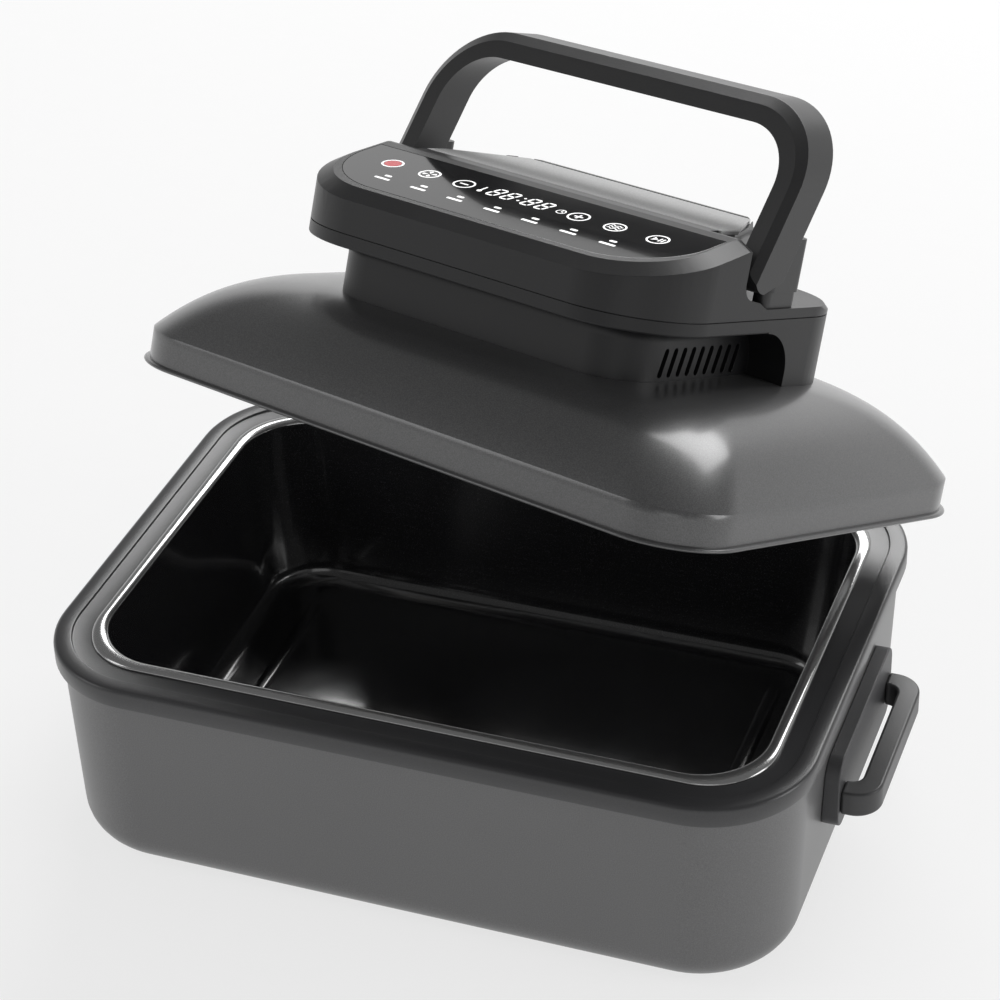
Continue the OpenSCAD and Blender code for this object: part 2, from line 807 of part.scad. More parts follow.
// Mains inlet: a cup with three pins
module power_inlet() {
    color("#141414") translate([inlet_x, head_back + inlet_out, inlet_z]) difference() {
        translate([0, -inlet_d / 2, 0]) cube([inlet_w, inlet_d, inlet_h], center = true);
        cube([inlet_w - 2 * inlet_wall, 2 * (inlet_d - 3 * inlet_wall), inlet_h - 2 * inlet_wall],
            center = true);
    }
    color("silver") for (k = [-1:1])
        translate([inlet_x + k * pin_gap, head_back + inlet_out - inlet_d + 2 * inlet_wall + pin_l / 2 - 1,
            inlet_z + (k == 0 ? inlet_wall : -inlet_wall)])
            cube([pin_w, pin_l, pin_h], center = true);
}

module housing_screws() {
    color("silver") for (p = housing_points) translate([p[0], p[1], seam_z - 4]) {
        cylinder(r = housing_screw_r, h = 6.5);
        translate([0, 0, -2.5]) cylinder(r = head_r, h = 2.5);
    }
}

module motor_bracket() {
    color("#a9abad") difference() {
        union() {
            translate([0, 0, dome_h]) cylinder(r = motor_r + 14, h = 2);
            translate([0, 0, dome_h]) cylinder(r = motor_r + 3, h = motor_z + motor_h / 2 - dome_h);
        }
        translate([0, 0, dome_h - 1]) cylinder(r = motor_hole, h = 60);
        translate([0, 0, motor_z - 0.3]) cylinder(r = motor_r + 0.3, h = 60);
        for (a = [30:120:270]) rotate([0, 0, a]) translate([motor_r + 9, 0, dome_h - 1])
            cylinder(r = 1.9, h = 5);
    }
}

// Studs welded on the dome, each with its nut
module bracket_screws() {
    color("silver") for (a = [30:120:270]) rotate([0, 0, a]) translate([motor_r + 9, 0, dome_h]) {
        cylinder(r = 1.8, h = 5);
        translate([0, 0, 2]) cylinder(r = 3.4, h = 2);
    }
}

// Ring of the handle's bar; x and z are on its inner line, and (ox, oz) points from there to its outer line
function bar_ring(x, z, ox, oz) = [
    for (p = [[0, 0], [0, handle_d - back_edge], [back_edge, handle_d], [leg_w - back_edge, handle_d],
              [leg_w, handle_d - back_edge], [leg_w, bevel_d], [leg_w - bevel_w, 0]])
        let (up = z + p[0] * oz)
        [x + p[0] * ox, leg_front + (up - toe_z) * tan(handle_lean) + p[1], up]];

// Rings from the left toe over the top bar to the right toe
function bar_rings() =
    let (r = handle_r - leg_w, cx = head_w / 2 - handle_r, cz = handle_top - handle_r)
    concat(
        [bar_ring(-cx - r, shelf_z, -1, 0)],
        [for (a = [180:-5:90]) bar_ring(-cx + r * cos(a), cz + r * sin(a), cos(a), sin(a))],
        [for (a = [90:-5:0]) bar_ring(cx + r * cos(a), cz + r * sin(a), cos(a), sin(a))],
        [bar_ring(cx + r, shelf_z, 1, 0)]);

// Side view of what the handle keeps: a round toe, a sole that slopes up to the back, and a round heel
module toe_profile() {
    toe = [toe_y, toe_up];
    heel = toe + sole_len * [cos(sole_slope), sin(sole_slope)]
        + (toe_r - heel_r) * [sin(sole_slope), -cos(sole_slope)];
    last = heel + heel_r * [cos(handle_lean), -sin(handle_lean)];
    polygon(concat(
        [[toe_y - toe_r, far]],
        [for (a = [180:10:270]) toe + toe_r * [cos(a), sin(a)]],
        [for (k = [0:6])
            let (a = 270 + sole_slope + (90 - sole_slope - handle_lean) * k / 6)
            heel + heel_r * [cos(a), sin(a)]],
        [last + far * [sin(handle_lean), cos(handle_lean)]]));
}

module handle_form() {
    intersection() {
        skin(bar_rings());
        rotate([90, 0, 90]) linear_extrude(2 * head_w, center = true) toe_profile();
    }
}

module carry_handle() {
    color("#333334") handle_form();
}

// Upright post on the shelf that the handle's leg is seated against; side is 1 for the right
module handle_post(side) {
    cx = side * post_x;
    color("#3a3a3b") difference() {
        union() {
            translate([cx, post_y, shelf_z + foot_h]) linear_extrude(post_top - shelf_z - foot_h)
                rounded(post_w, post_y1 - post_y0, post_r);
            translate([cx, post_y, shelf_z]) linear_extrude(foot_h)
                rounded(post_w - 2 * foot_in, post_y1 - post_y0 - 2 * foot_in, post_r - foot_in);
        }
        for (step = [0, 8, 16]) translate([0, -step, step / 2]) handle_form();
        translate([cx, post_y, shelf_z - 1])
            cylinder(r = handle_screw_r, h = handle_screw_z + handle_screw_h - shelf_z + 1);
    }
}

module handle_screws() {
    color("silver") for (s = [-1, 1])
        translate([s * post_x, post_y, handle_screw_z]) cylinder(r = handle_screw_r, h = handle_screw_h);
}

// Round can with two bearing noses, free to turn in its bracket
module motor_can() {
    color("#8f9396") difference() {
        union() {
            translate([0, 0, motor_z]) cylinder(r = motor_r, h = motor_h);
            translate([0, 0, motor_z - 4]) cylinder(r = 9, h = motor_h + 7);
        }
        translate([0, 0, motor_z - 10]) cylinder(r = bore_r, h = motor_h + 20);
    }
}

module motor_shaft() {
    color("silver") translate([0, 0, fan_z - 3]) cylinder(r = shaft_r, h = cool_z + cool_h + 3 - fan_z);
}

// Hub with flat blades; the bore fits the shaft
module fan_wheel(r, h, count, lean) {
    difference() {
        union() {
            cylinder(r = shaft_r + 5, h = h);
            cylinder(r = r * 0.45, h = 1.2);
            for (k = [0:count - 1]) rotate([0, 0, 360 * k / count]) translate([shaft_r + 3, 0, h / 2])
                rotate([0, 0, lean]) translate([(r - shaft_r - 4) / 2, 0, 0])
                    cube([r - shaft_r - 4, 1.4, h], center = true);
        }
        translate([0, 0, -1]) cylinder(r = shaft_r, h = h + 2);
    }
}

module convection_fan() {
    color("#b4b6b8") translate([0, 0, fan_z]) fan_wheel(fan_r, fan_h, 8, 8);
}

module cooling_fan() {
    color("#dfe0e0") translate([0, 0, cool_z]) fan_wheel(cool_r, cool_h, 9, 6);
}

// Holds a lid piece where the open lid is
module lid_open() {
    translate(tilt_point) rotate(a = open_tilt, v = tilt_axis) translate(-tilt_point)
        translate([0, 0, seat_z]) rotate([0, 0, open_turn]) children();
}

base_shell();
rim_collar();
inner_pot();
side_plate(-1);  // side_plate_left
side_plate(1);  // side_plate_right
side_grip(-1);  // side_grip_left
side_grip(1);  // side_grip_right
side_handle_screws();
lid_open() lid_dome();
lid_open() lid_seal();
lid_open() lid_liner();
lid_open() insulation_pad();
lid_open() heating_element();
lid_open() element_clips();
lid_open() element_terminals();
lid_open() fan_guard();
lid_open() guard_legs();
lid_open() guard_screws();
lid_open() temperature_probe();
lid_open() neck_housing();
lid_open() upper_housing();
lid_open() touch_panel();
lid_open() rear_cover();
lid_open() control_board();
lid_open() display_module();
lid_open() power_board();
lid_open() power_inlet();
lid_open() housing_screws();
lid_open() motor_bracket();
lid_open() bracket_screws();
lid_open() carry_handle();
lid_open() handle_post(-1);  // handle_post_left
lid_open() handle_post(1);  // handle_post_right
lid_open() handle_screws();
lid_open() motor_can();
lid_open() motor_shaft();
lid_open() convection_fan();
lid_open() cooling_fan();
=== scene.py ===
import math
import bpy
import bmesh
from mathutils import Matrix, Vector


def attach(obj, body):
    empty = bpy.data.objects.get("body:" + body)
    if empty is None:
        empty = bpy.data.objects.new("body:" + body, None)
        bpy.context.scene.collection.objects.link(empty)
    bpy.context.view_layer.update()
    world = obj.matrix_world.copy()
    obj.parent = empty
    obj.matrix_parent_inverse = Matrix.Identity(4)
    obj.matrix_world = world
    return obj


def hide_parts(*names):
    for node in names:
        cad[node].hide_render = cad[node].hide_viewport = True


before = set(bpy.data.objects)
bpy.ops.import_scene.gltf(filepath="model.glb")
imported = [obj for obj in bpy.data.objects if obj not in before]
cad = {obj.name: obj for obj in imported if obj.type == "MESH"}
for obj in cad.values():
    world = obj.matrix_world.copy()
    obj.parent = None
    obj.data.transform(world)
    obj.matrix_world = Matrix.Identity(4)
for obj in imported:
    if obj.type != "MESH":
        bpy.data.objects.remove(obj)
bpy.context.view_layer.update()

# Studio: a white table under soft light. One wide window of light stands behind and above the object. Weak
# soft boxes stand on the left and in front, and one on the right fills the end wall.
turn = Vector((2.1406, 0.3567, -0.224))
rows = Matrix.Rotation(turn.length, 3, turn.normalized())
camera = bpy.data.objects.new("camera", bpy.data.cameras.new("camera"))
camera.matrix_world = (Matrix.Translation((0.4537, -1.1838, 1.0196))
                       @ Matrix((rows[0], -rows[1], -rows[2])).transposed().to_4x4())
camera.data.lens = 108.04
camera.data.sensor_width = 36
camera.data.sensor_fit = "HORIZONTAL"
bpy.context.scene.collection.objects.link(camera)
bpy.context.scene.camera = camera
bpy.context.scene.view_settings.view_transform = "Standard"


class Sock:
    """A socket that can stand in a sum: each operation adds its Math node."""

    def __init__(self, graph, socket):
        self.graph, self.socket = graph, socket

    def calc(self, operation, *values):
        return self.graph.node("ShaderNodeMath", {"operation": operation}, dict(enumerate(values)))

    def __add__(self, other):
        return self.calc("ADD", self, other)

    def __radd__(self, other):
        return self.calc("ADD", other, self)

    def __sub__(self, other):
        return self.calc("SUBTRACT", self, other)

    def __rsub__(self, other):
        return self.calc("SUBTRACT", other, self)

    def __mul__(self, other):
        return self.calc("MULTIPLY", self, other)

    def __rmul__(self, other):
        return self.calc("MULTIPLY", other, self)

    def __truediv__(self, other):
        return self.calc("DIVIDE", self, other)

    def __pow__(self, other):
        return self.calc("POWER", self, other)


class Graph:
    """A node tree that is written from left to right."""

    def __init__(self, tree):
        self.tree = tree

    def node(self, kind, settings=None, sockets=None, out=0):
        made = self.tree.nodes.new(kind)
        for key, value in (settings or {}).items():
            if key == "stops":
                for place, (position, level) in enumerate(value):
                    stop = made.color_ramp.elements
                    stop = stop[place] if place < len(stop) else stop.new(position)
                    stop.position, stop.color = position, (level, level, level, 1)
            else:
                setattr(made, key, value)
        for key, value in (sockets or {}).items():
            self.put(made.inputs[key], value)
        return Sock(self, made.outputs[out])

    def put(self, socket, value):
        if isinstance(value, Sock):
            self.tree.links.new(value.socket, socket)
        else:
            socket.default_value = value


class Finish(Graph):
    """A material with one shader. Constants are set on the shader's own sockets."""

    def __init__(self, name, **constants):
        self.material = bpy.data.materials.new(name)
        self.material.use_nodes = True
        super().__init__(self.material.node_tree)
        self.shader = self.tree.nodes["Principled BSDF"]
        for key, value in constants.items():
            self.shader.inputs[key.replace("_", " ")].default_value = value
        self.where = self.node("ShaderNodeTexCoord", out="Object")

    def grain(self, scale, detail=2, stretch=None):
        where = self.where
        if stretch:
            where = self.node("ShaderNodeMapping", None, {"Vector": where, "Scale": stretch})
        return self.node("ShaderNodeTexNoise", None, {"Vector": where, "Scale": scale, "Detail": detail})

    def ramp(self, value, stops):
        return self.node("ShaderNodeValToRGB", {"stops": stops}, {0: value})

    def mix(self, low, high, amount):
        """Colour between two colours; a plain triple is a colour too."""
        low, high = (c if isinstance(c, Sock) else (*c, 1) for c in (low, high))
        return self.node("ShaderNodeMix", {"data_type": "RGBA"}, {0: amount, 6: low, 7: high}, out=2)

    def wear(self, colour=None, rough=None, height=None, depth=0.0001, strength=1.0, metal=None):
        if colour is not None:
            self.put(self.shader.inputs["Base Color"], colour)
        if rough is not None:
            self.put(self.shader.inputs["Roughness"], rough)
        if metal is not None:
            self.put(self.shader.inputs["Metallic"], metal)
        if height is not None:
            bump = self.node("ShaderNodeBump", None, {"Strength": strength, "Distance": depth, "Height": height})
            self.put(self.shader.inputs["Normal"], bump)
        return self.material


floor_mesh = bpy.data.meshes.new("floor")
floor_mesh.from_pydata([(-9, -9, 0), (9, -9, 0), (9, 9, 0), (-9, 9, 0)], [], [(0, 1, 2, 3)])
floor = bpy.data.objects.new("floor", floor_mesh)
bpy.context.scene.collection.objects.link(floor)
paper = Finish("floor paper", Specular_IOR_Level=0.15)
speck = paper.grain(60, 3)
paper.wear(paper.mix((0.83, 0.83, 0.83), (0.86, 0.86, 0.86), speck), 0.75 + 0.1 * speck)


def seen(graph):
    """1 where the camera, a reflection or a clear piece looks at the background."""
    path = graph.tree.nodes.new("ShaderNodeLightPath")
    rays = [Sock(graph, path.outputs[key]) for key in ("Is Camera Ray", "Is Glossy Ray", "Is Transmission Ray")]
    return rays[0] + rays[1] + rays[2]


glow = paper.node("ShaderNodeEmission", None, {"Color": (1, 1, 1, 1), "Strength": 1.0})
paper.put(paper.tree.nodes["Material Output"].inputs["Surface"],
          paper.node("ShaderNodeMixShader", None,
                     {0: seen(paper) * 0.72, 1: Sock(paper, paper.shader.outputs[0]), 2: glow}))
floor.data.materials.append(paper.material)

world = bpy.data.worlds.new("studio")
bpy.context.scene.world = world
world.use_nodes = True
air = Graph(world.node_tree)
sky = world.node_tree.nodes["Background"]
sky.inputs["Color"].default_value = (1, 1, 1, 1)
up = air.node("ShaderNodeSeparateXYZ", None, {0: air.node("ShaderNodeTexCoord")}, out=2)
air.put(sky.inputs["Strength"], air.node("ShaderNodeValToRGB", {"stops": [(0.0, 1.0), (0.14, 0.9), (0.42, 0.24),
                                                                        (1.0, 0.2)]}, {0: up}))

for name, place, aim, size, power in (
        ("window behind", (0.1, 2.4, 1.9), (0, 0.1, 0.15), (2.6, 1.3), 72),
        ("soft box left", (-2.0, -0.9, 1.7), (0, 0, 0.15), (0.9, 1.2), 8),
        ("soft box front", (0.9, -2.6, 1.5), (0, 0, 0.15), (1.6, 0.9), 4),
        ("fill right", (2.2, 0.1, 0.9), (0, 0, 0.15), (0.8, 1.2), 11)):
    lamp = bpy.data.objects.new(name, bpy.data.lights.new(name, "AREA"))
    lamp.data.shape = "RECTANGLE"
    lamp.data.size, lamp.data.size_y = size
    lamp.data.energy = power
    lamp.location = place
    lamp.rotation_euler = (Vector(place) - Vector(aim)).to_track_quat("Z", "Y").to_euler()
    lamp.visible_camera = False
    bpy.context.scene.collection.objects.link(lamp)

# Body: a deep-drawn steel tub with a rounded bottom edge, sprayed with satin gunmetal paint.
# The paint shows fine metal flakes and a faint orange peel.
MM = 0.001
RIM_W, RIM_D, RIM_H, RIM_R = 400, 287, 118, 56
BAND_H = 10.7
BODY_TOP = RIM_H - BAND_H
CORNER_STEPS = 20


def ring(w, d, r, z, steps=CORNER_STEPS):
    """Loop of points round a rounded rectangle."""
    loop = []
    for corner in range(4):
        sx, sy = ((1, 1), (-1, 1), (-1, -1), (1, -1))[corner]
        for step in range(steps + 1):
            a = math.radians(90 * (corner + step / steps))
            loop.append((sx * (w / 2 - r) + r * math.cos(a), sy * (d / 2 - r) + r * math.sin(a), z))
    return loop


def skin(rings, ends="caps"):
    """Points and faces through a list of loops; 'caps' closes the ends and 'loop' joins the last to the first."""
    n, m = len(rings[0]), len(rings)
    faces = [(k * n + i, ((k + 1) % m) * n + i, ((k + 1) % m) * n + (i + 1) % n, k * n + (i + 1) % n)
             for k in range(m if ends == "loop" else m - 1) for i in range(n)]
    if ends == "caps":
        faces += [tuple(range(n)), tuple(range((m - 1) * n, m * n))]
    return [p for loop in rings for p in loop], faces


def solid(name, parts, place=None, sharp=35, turn_out=True):
    """One object from parts in millimetres, merged, with its faces outwards and only real edges sharp."""
    mesh = bpy.data.meshes.new(name)
    points, faces = [], []
    for part_points, part_faces in parts:
        faces += [tuple(len(points) + i for i in face) for face in part_faces]
        points += part_points
    mesh.from_pydata([Vector(p) * MM for p in points], [], faces)
    return finished(name, mesh, place, sharp, turn_out)


def finished(name, mesh, place=None, sharp=35, turn_out=True):
    bm = bmesh.new()
    bm.from_mesh(mesh)
    bmesh.ops.remove_doubles(bm, verts=bm.verts, dist=1e-6)
    bmesh.ops.dissolve_degenerate(bm, edges=bm.edges, dist=1e-6)
    if turn_out:
        bmesh.ops.recalc_face_normals(bm, faces=bm.faces)
    bm.to_mesh(mesh)
    bm.free()
    if place:
        mesh.transform(place)
    mesh.shade_smooth()
    mesh.set_sharp_from_angle(angle=math.radians(sharp))
    made = bpy.data.objects.new(name, mesh)
    bpy.context.scene.collection.objects.link(made)
    return made


def stand_for(piece, body, slot, material, *nodes):
    """The piece gets its finish, rides on its body and stands for its CAD solids."""
    piece.data.materials.clear()
    piece.data.materials.append(material)
    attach(piece, body)
    if nodes:
        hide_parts(*nodes)
    return piece


def tub(inset, z0, taper, rounding, top, w=RIM_W, d=RIM_D, r=RIM_R, steps=10):
    """Loops from a tub's flat bottom up its rounded edge and wall; the taper is (ends, long walls)."""
    loops = []
    for k in range(-1, steps + 1):
        a = math.radians(90 * max(k, 0) / steps)
        s = rounding * (1 - math.sin(a)) + (6 if k < 0 else 0)
        loops.append(ring(w - 2 * (inset + taper[0] + s), d - 2 * (inset + taper[1] + s), max(r - inset - s, 2),
                          z0 + rounding * (1 - math.cos(a))))
    for k in range(1, 5):
        left = 1 - k / 4
        loops.append(ring(w - 2 * (inset + taper[0] * left), d - 2 * (inset + taper[1] * left), r - inset,
                          top + (z0 + rounding - top) * left))
    return loops


paint = Finish("gunmetal paint", Specular_IOR_Level=0.5, Coat_Roughness=0.3, Coat_Weight=0.25, Metallic=0.35)
flake = paint.ramp(paint.grain(1900, 1), [(0.35, 0), (0.7, 1)])
cloud = paint.grain(9, 3)
paint.wear(paint.mix((0.11, 0.11, 0.111), (0.185, 0.185, 0.187), 0.6 * flake + 0.3 * cloud),
           0.36 + 0.07 * cloud + 0.05 * flake, paint.grain(700, 2), 0.00004, 0.35)
outer = tub(4, 0, (3, 0), 20, BODY_TOP)
inner = tub(5.5, 1.5, (3, 0), 18.5, BODY_TOP)
body = solid("base_tub", [skin(outer + inner[::-1])])
stand_for(body, "base", "body_paint", paint.material, "base_shell")

# Rim: a pressed and enamelled collar that closes the tub's edge and carries the pot on a low ledge.
# Its enamel is darker than the paint and has the fine grain of a powder coat.
enamel = Finish("rim enamel", Specular_IOR_Level=0.5, Coat_Weight=0.2, Coat_Roughness=0.3)
powder = enamel.grain(1500, 3)
enamel.wear(enamel.mix((0.022, 0.022, 0.023), (0.05, 0.05, 0.053), powder), 0.26 + 0.14 * powder,
            powder, 0.00009, 0.5)
LEDGE_Z = RIM_H - 1.2
band = [(1.0, BODY_TOP), (0.25, BODY_TOP + 0.25), (0, BODY_TOP + 1), (0, RIM_H - 2.2), (0.3, RIM_H - 1.1),
        (1.1, RIM_H - 0.3), (2.2, RIM_H), (8.6, RIM_H), (9.2, RIM_H - 0.15), (9.5, RIM_H - 0.5),
        (9.7, LEDGE_Z + 0.15), (10.2, LEDGE_Z), (21.2, LEDGE_Z), (22, LEDGE_Z - 0.7), (22, BODY_TOP)]
rim = solid("rim_band", [skin([ring(RIM_W - 2 * s, RIM_D - 2 * s, RIM_R - s, z) for s, z in band], "loop")])
stand_for(rim, "base", "rim_paint", enamel.material, "rim_collar")

# Roasting pot: drawn aluminium with a rolled edge and two low ribs in its floor, sprayed with a glossy
# dark non-stick coat that is slightly uneven, as such a coat is. The rolled edge's crest is painted light grey
# and metallic: a painted highlight.
coat = Finish("non-stick coat", Specular_IOR_Level=0.6, Coat_Weight=0.6, Coat_Roughness=0.08)
fleck = coat.ramp(coat.grain(2600, 1), [(0.62, 0), (0.72, 1)])
ripple = coat.grain(26, 2)
# Painted highlight: the crest of the rolled edge above the ledge is painted light grey and made metallic.
crest_highlight = coat.node("ShaderNodeSeparateXYZ", None, {0: coat.where}, out=2)
crest_highlight = crest_highlight.calc("GREATER_THAN", crest_highlight, (RIM_H - 0.9) * MM)
coat.wear(coat.mix(coat.mix((0.012, 0.012, 0.013), (0.06, 0.06, 0.062), fleck), (0.36, 0.36, 0.36), crest_highlight),
          0.14 + 0.08 * ripple, ripple + 0.02 * coat.grain(900, 2), 0.0012, 0.25, crest_highlight * 0.8)
POT_IN, POT_EDGE, POT_FLOOR = 19.3, 6.7, 20
open_in = POT_IN + POT_EDGE
outside = tub(open_in - 1.6, POT_FLOOR - 1.6, (9, 9), 13.6, LEDGE_Z, r=RIM_R + 6)
inside = tub(open_in, POT_FLOOR, (9, 9), 12, LEDGE_Z - 1, r=RIM_R + 6)
edge = []
for k in range(13):
    a = math.pi * k / 12
    s = POT_IN + POT_EDGE / 2 * (1 - math.cos(a))
    edge.append(ring(RIM_W - 2 * s, RIM_D - 2 * s, RIM_R - s + k / 2, LEDGE_Z + 0.5 + 1.7 * math.sin(a)))
parts = [skin(outside + [ring(RIM_W - 2 * POT_IN, RIM_D - 2 * POT_IN, RIM_R - POT_IN, LEDGE_Z)] + edge
              + inside[::-1])]
for side in (-1, 1):
    rib = [ring(9 - 2 * s, 167 - 2 * s, 4.4 - s, POT_FLOOR - 0.1 + h) for s, h in
           ((0, 0), (0.5, 0.25), (1.4, 0.8), (2.4, 1.15), (3.6, 1.3))]
    points, faces = skin(rib)
    parts.append(([(x + side * 134, y, z) for x, y, z in points], faces))
pot = solid("roasting_pot", parts)
stand_for(pot, "base", "pot_coating", coat.material, "inner_pot")


# Side handles: a moulded plate on each end wall and a loop grip that grows out of it, in satin dark
# plastic with a fine spark-eroded texture. Every edge is rounded over as a moulding's is.
def dressed(name, source, width, segments=3, angle=28, sharp=28):
    """A CAD solid's copy with its edges rounded over."""
    mesh = cad[source].data.copy()
    bm = bmesh.new()
    bm.from_mesh(mesh)
    bmesh.ops.remove_doubles(bm, verts=bm.verts, dist=3e-6)
    bmesh.ops.dissolve_limit(bm, angle_limit=math.radians(0.4), verts=bm.verts, edges=bm.edges)
    bm.to_mesh(mesh)
    bm.free()
    mesh.shade_smooth()
    mesh.set_sharp_from_angle(angle=math.radians(sharp))
    made = bpy.data.objects.new(name, mesh)
    bpy.context.scene.collection.objects.link(made)
    bevel = made.modifiers.new("edge", "BEVEL")
    bevel.width = width * MM
    bevel.segments = segments
    bevel.limit_method = "ANGLE"
    bevel.angle_limit = math.radians(angle)
    return applied(level(made))


def level(made):
    """Lets the large flat faces keep their own direction at a rounded edge."""
    normals = made.modifiers.new("level", "WEIGHTED_NORMAL")
    normals.keep_sharp = True
    normals.weight = 80
    return made


def applied(made):
    """Turns an object's modifiers into plain mesh."""
    ready = bpy.data.meshes.new_from_object(made.evaluated_get(bpy.context.evaluated_depsgraph_get()))
    made.modifiers.clear()
    made.data = ready
    return made


def moulded(name, low, high, rough, coarse=900, depth=0.00005, **constants):
    """Satin plastic from a spark-eroded tool: two colours, an even grain and faint handling marks."""
    plastic = Finish(name, **constants)
    skin_grain = plastic.grain(coarse, 3)
    smear = plastic.grain(18, 4)
    return plastic.wear(plastic.mix(low, high, 0.5 * skin_grain + 0.5 * smear),
                        rough - 0.05 + 0.1 * smear + 0.06 * skin_grain, skin_grain, depth, 0.5)


plate_plastic = moulded("plate plastic", (0.04, 0.04, 0.042), (0.065, 0.065, 0.068), 0.42)
grip_plastic = moulded("grip plastic", (0.03, 0.03, 0.031), (0.05, 0.05, 0.052), 0.36)
for side in ("left", "right"):
    plate = dressed("side_plate_moulding_" + side, "side_plate_" + side, 1.2)
    stand_for(plate, "base", "plate_plastic", plate_plastic, "side_plate_" + side)
    grip = dressed("side_grip_moulding_" + side, "side_grip_" + side, 3, 5)
    stand_for(grip, "base", "grip_plastic", grip_plastic, "side_grip_" + side)

# Lid dome: pressed steel with an upright skirt and a rolled bead, in glossy gunmetal paint.
# Its outer surface follows one rule from the skirt to the flat top, so a node tree draws it.
LID = (Matrix.Translation((0.036, 0.178, 0.029)) @ Matrix.Rotation(math.radians(22.9), 4, (-0.98, 0.188, 0.068))
       @ Matrix.Translation((-0.036, -0.178, -0.029 + 0.1193)) @ Matrix.Rotation(math.radians(-22.4), 4, "Z"))
BEAD_W, BEAD_D, BEAD_R, BEAD_OUT = 372, 259, 41, 2.8
SKIRT = (BEAD_W - 2 * BEAD_OUT, BEAD_D - 2 * BEAD_OUT, BEAD_R - BEAD_OUT, 18.6)
DOME_IN, DOME_SIDE, DOME_R, DOME_H, DOME_POWER = 87, 0.89, 49, 57, 3.2
DOME_ROWS = 44


def asked(tree, **sizes):
    """Named inputs of a node tree, as sockets."""
    for key, value in sizes.items():
        tree.interface.new_socket(key.replace("_", " "), in_out="INPUT", socket_type="NodeSocketFloat")
    entry = tree.nodes.new("NodeGroupInput")
    return [Sock(Graph(tree), entry.outputs[key.replace("_", " ")]) for key in sizes]


def grown(name, tree, host, sizes, place=None, sharp=35):
    """Runs a node tree on a host mesh and keeps the result as a plain mesh."""
    made = bpy.data.objects.new(name, host)
    bpy.context.scene.collection.objects.link(made)
    run = made.modifiers.new("tree", "NODES")
    run.node_group = tree
    for item in tree.interface.items_tree:
        if item.item_type == "SOCKET" and item.in_out == "INPUT" and item.name.replace(" ", "_") in sizes:
            run[item.identifier] = sizes[item.name.replace(" ", "_")]
    applied(made)
    mesh = made.data
    bpy.data.objects.remove(made)
    return finished(name, mesh, place, sharp)


def close_tree(graph, shape, material):
    """Realizes the instances, sets the material and ends the tree."""
    shape = graph.node("GeometryNodeRealizeInstances", None, {0: shape})
    shape = graph.node("GeometryNodeSetMaterial", None, {"Geometry": shape, "Material": material})
    graph.tree.interface.new_socket("Mesh", in_out="OUTPUT", socket_type="NodeSocketGeometry")
    graph.put(graph.tree.nodes.new("NodeGroupOutput").inputs[0], shape)


lid_paint = Finish("lid paint", Specular_IOR_Level=0.5, Coat_Weight=0.55, Coat_Roughness=0.16, Metallic=0.3)
lid_flake = lid_paint.ramp(lid_paint.grain(1900, 1), [(0.35, 0), (0.7, 1)])
peel = lid_paint.grain(420, 2)
lid_paint.wear(lid_paint.mix((0.062, 0.062, 0.063), (0.13, 0.13, 0.132), 0.6 * lid_flake + 0.2 * peel),
               0.3 + 0.06 * lid_flake, peel, 0.00003, 0.35)



def joined(name, *pieces):
    """One mesh out of several objects, which are used up."""
    bm = bmesh.new()
    for piece in pieces:
        bm.from_mesh(piece.data)
        bpy.data.objects.remove(piece)
    mesh = bpy.data.meshes.new(name)
    bm.to_mesh(mesh)
    bm.free()
    return mesh


dome_sizes = dict(Width=SKIRT[0], Depth=SKIRT[1], Corner=SKIRT[2], Foot=SKIRT[3], Reach=DOME_IN,
                  Side_share=DOME_SIDE, Top_corner=DOME_R, Height=DOME_H, Power=DOME_POWER)
dome_tree = bpy.data.node_groups.new("dome rule", "GeometryNodeTree")
width, depth, corner_r, foot, reach, share, top_r, height, power = asked(dome_tree, **dome_sizes)
rule = Graph(dome_tree)
grid = rule.node("GeometryNodeMeshGrid", None,
                 {"Vertices X": 4 * (CORNER_STEPS + 1) + 1, "Vertices Y": DOME_ROWS + 1})
index = rule.node("GeometryNodeInputIndex")
around = (index / (DOME_ROWS + 1)).calc("FLOOR", index / (DOME_ROWS + 1))
row = index - around * (DOME_ROWS + 1)
corner = around.calc("FLOOR", (around + 0.01) / (CORNER_STEPS + 1))
angle = (corner + (around - corner * (CORNER_STEPS + 1)) / CORNER_STEPS) * (math.pi / 2)
way = (corner + 0.5) * (math.pi / 2)
sign_x = way.calc("SIGN", way.calc("COSINE", way))
sign_y = way.calc("SIGN", way.calc("SINE", way))
share_in = (row / DOME_ROWS) ** 1.5
radius = corner_r + (top_r - corner_r) * share_in
x = sign_x * (width / 2 - reach * share_in - radius) + radius * angle.calc("COSINE", angle)
y = sign_y * (depth / 2 - reach * share * share_in - radius) + radius * angle.calc("SINE", angle)
z = foot + (height - foot) * (1 - (1 - share_in) ** power)
spot = rule.node("ShaderNodeCombineXYZ", None, {0: x * MM, 1: y * MM, 2: z * MM})
shape = rule.node("GeometryNodeSetPosition", None, {"Geometry": grid, "Position": spot})
shape = rule.node("GeometryNodeMergeByDistance", None, {"Geometry": shape, "Distance": 1e-6})
close_tree(rule, shape, lid_paint.material)
dome = grown("lid_dome_top", dome_tree, bpy.data.meshes.new("seed"), dome_sizes)


def dome_loop(t, inset):
    """Loop of the dome's inner side, which runs along under the outer one."""
    s = DOME_IN * t + inset
    return ring(SKIRT[0] - 2 * s, SKIRT[1] - 2 * (DOME_IN * DOME_SIDE * t + inset),
                SKIRT[2] + (DOME_R - SKIRT[2]) * t - inset / 2,
                SKIRT[3] + (DOME_H - SKIRT[3]) * (1 - (1 - t) ** DOME_POWER) - inset * t)


def hole_loop(radius, z):
    return ring(2 * radius, 2 * radius, radius - 0.5, z)


